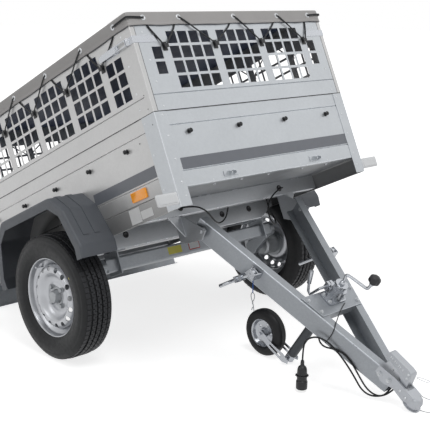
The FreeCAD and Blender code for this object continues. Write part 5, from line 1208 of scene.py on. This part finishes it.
class TRAILER_OT_jockey_wheel(bpy.types.Operator):
    """Jockey wheel's tyre, dished rim, crank and knob"""
    bl_idname = "trailer.jockey_wheel"
    bl_label = "Jockey wheel"

    def execute(self, context):
        turn = JOCKEY_WHEEL @ facing(TO_RIGHT)
        half = [(23.5, 63), (25.6, 66), (26, 74), (26, 84), (25, 91), (22, 97), (17.5, 101), (11, 102.6), (10, 101.4),
                (8.6, 101.4), (8, 103), (2, 103)]
        outline = [(-a, r) for a, r in half] + half[::-1]
        piece("jockey_wheel_tyre", lathe(outline, 72, closed=True), turn, "jockey_wheel", "rubber", "jockey_rubber",
              ("jockey_tyre",))
        dish = [(-25, 8), (-25, 17), (-12, 19), (-6, 22), (-5, 30), (-6, 44), (-9, 52), (-17, 57), (-23, 59),
                (-25.5, 62), (-23, 62.5), (-12, 62.2)]
        dish += [(-a, r) for a, r in dish[::-1]]
        pegs = [placed(lathe([(-9, 0), (-9, 7), (9, 7), (9, 0)], 16), Matrix.Rotation(angle, 4, "Z"), at(37, 0, 0))
                for angle in around(5)]
        piece("jockey_wheel_rim", cut(lathe(dish, 60, closed=True), joined(*pegs)), turn, "jockey_wheel", "fitting",
              "jockey_rim_paint", ("jockey_rim",), crease=35)
        self.crank()
        return {"FINISHED"}

    def crank(self):
        """The bent bar with its boss and collar, and the lobed knob on its end."""
        route = [(-495, 6), (-494, 26), (-488, 44), (-500, 51), (-560, 66), (-584, 71), (-594, 78), (-596, 92),
                 (-596, 118)]
        boss = lathe([(0, 0), (0, 11), (11, 11), (13.4, 9), (14, 6), (14, 0)], 24)
        collar = lathe([(0, 0), (0, 9.5), (5, 9.5), (5, 0)], 20)
        bent = wire([[(0, y, TUBE_TOP + z) for y, z in route]], 6.5)
        bent = joined(bent, placed(boss, at(*TUBE_AT, TUBE_TOP)), placed(collar, at(*CRANK_END, TUBE_TOP + 102)))
        piece("crank_bar", bent, BAR, *BAR_FITTING, ("jockey_crank",))
        profile = [(0, 0), (0, 8), (4, 12), (9, 20), (14, 23.4), (24, 24), (31, 22), (37, 16), (40, 9), (41, 0)]
        knob = placed(lathe(profile, 48, lobes=8), at(*CRANK_END, TUBE_TOP + 107))
        piece("crank_knob", knob, BAR, "drawbar", "plastic", "knob_plastic")


BEAM_OUT = (math.cos(math.atan(BEAM_SLOPE)), -math.sin(math.atan(BEAM_SLOPE)))
# Bolts of the coupling, the cross plate and the jockey wheel's clamp, and domes of the coupling's head and handle, as
# (in front of the hinge pin, up), or in front of it alone where they share a level
COUPLING_BOLTS = ((853, 8), (893, 10))
PLATE_BOLTS, PLATE_LEVEL = (478, 541), 40.3
CLAMP_BOLTS, CLAMP_OUT, CLAMP_LEVEL = (515, 475), 42, 48.6
HEAD_DOMES, HEAD_HALF = ((951, 16), (984, 12)), 28.9
HANDLE_DOMES, HANDLE_HALF = ((934, 88), (938, 70)), 18
GRIP_RIBS, GRIP_LEVEL = (840, 848, 862, 870, 884, 892, 906), 82
NECK_DOME = (-6, -872, 39.3)


class TRAILER_OT_drawbar_fittings(bpy.types.Operator):
    """Bolts, rivets, ring and tie of the drawbar and its coupling"""
    bl_idname = "trailer.drawbar_fittings"
    bl_label = "Drawbar fittings"

    def execute(self, context):
        bolt = joined(lathe([(0, 0), (0, 10.5), (1.8, 10.5), (2, 0)], 20),
                      lathe([(1.6, 0), (1.6, 8.6), (7.4, 8.6), (8.6, 7.2), (8.6, 0)], 6),
                      lathe([(8.2, 0), (8.2, 4.6), (12, 4.6), (12.8, 3.8), (12.8, 0)], 12))
        spots = []
        for sign in (-1, 1):
            out = (sign * BEAM_OUT[0], BEAM_OUT[1], 0)
            spots += [spot(BAR, sign * (beam_half(d) + 4.3), -d, n, out) for d, n in COUPLING_BOLTS]
            spots += [spot(BAR, sign * (beam_half(d) - 22), -d, PLATE_LEVEL, UP, SMALL) for d in PLATE_BOLTS]
            spots += [spot(BAR, sign * CLAMP_OUT, -d, CLAMP_LEVEL, UP, SMALL) for d in CLAMP_BOLTS]
        repeated("drawbar_bolts", bolt, spots, *BAR_BOLT)
        dome = lathe([(0, 6), (1, 5.8), (2.6, 3.8), (3.2, 0)], 16)
        spots = []
        for side in (TO_RIGHT, TO_LEFT):
            head, handle = side[0] * HEAD_HALF, side[0] * HANDLE_HALF
            spots += [spot(BAR, head, -d, n, side) for d, n in HEAD_DOMES]
            spots += [spot(BAR, handle, -d, n, side, (0.9, 0.9, 1)) for d, n in HANDLE_DOMES]
            spots += [spot(BAR, handle, -d, GRIP_LEVEL, side, (0.5, 0.9, 0.5)) for d in GRIP_RIBS]
        spots.append(spot(BAR, *NECK_DOME))
        repeated("drawbar_domes", dome, spots, *BAR_BOLT)
        ring = [(10 * math.sin(a), -987 + 28 * math.cos(a), 115 - 17 * math.cos(a)) for a in around(12)]
        piece("handle_ring", wire([ring], 1, closed=True), BAR, *BAR_FITTING)
        d = 627
        edge = -beam_half(d)
        tie = [(35, -538, 42.6), (8, -550, 42.6), (-12, -561, 42.2), (-30, -571, 39.4), (-60, -590, 38.4),
               (-94, -612, 38.4), (edge + 2, -d + 6, 38.5), (edge - 4, -d + 2, 34), (edge - 3.6, -d - 2, 15),
               (edge - 4, -d - 4, -4), (edge - 12, -d - 6, -26), (edge - 14, -d - 6, -36)]
        piece("cable_tie", wire([tie], 2), BAR, "drawbar", "plastic", "plug_plastic")
        return {"FINISHED"}


STEPS = [TRAILER_OT_stage, TRAILER_OT_finishes, TRAILER_OT_cords, TRAILER_OT_cover, TRAILER_OT_wall_fittings,
         TRAILER_OT_films, TRAILER_OT_lamps, TRAILER_OT_wheels, TRAILER_OT_jockey_wheel, TRAILER_OT_drawbar_fittings]


class TRAILER_PT_pieces(bpy.types.Panel):
    """The trailer's pieces"""
    bl_label = "Trailer"
    bl_idname = "TRAILER_PT_pieces"
    bl_space_type = "VIEW_3D"
    bl_region_type = "UI"
    bl_category = "Trailer"

    def draw(self, context):
        for step in STEPS:
            self.layout.operator(step.bl_idname)
        for group in (context.scene.trailer_sizes, context.scene.trailer_colours):
            for name in group.bl_rna.properties.keys():
                if name not in ("rna_type", "name"):
                    self.layout.prop(group, name)


CLASSES = [TrailerColours, TrailerSizes, *STEPS, TRAILER_PT_pieces]


def register():
    for each in CLASSES:
        bpy.utils.register_class(each)
    bpy.types.Scene.trailer_colours = bpy.props.PointerProperty(type=TrailerColours)
    bpy.types.Scene.trailer_sizes = bpy.props.PointerProperty(type=TrailerSizes)


def unregister():
    del bpy.types.Scene.trailer_sizes
    del bpy.types.Scene.trailer_colours
    for each in reversed(CLASSES):
        bpy.utils.unregister_class(each)


def main():
    register()
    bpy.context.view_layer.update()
    for step in STEPS:
        area, name = step.bl_idname.split(".")
        getattr(getattr(bpy.ops, area), name)()


if __name__ == "__main__":
    main()
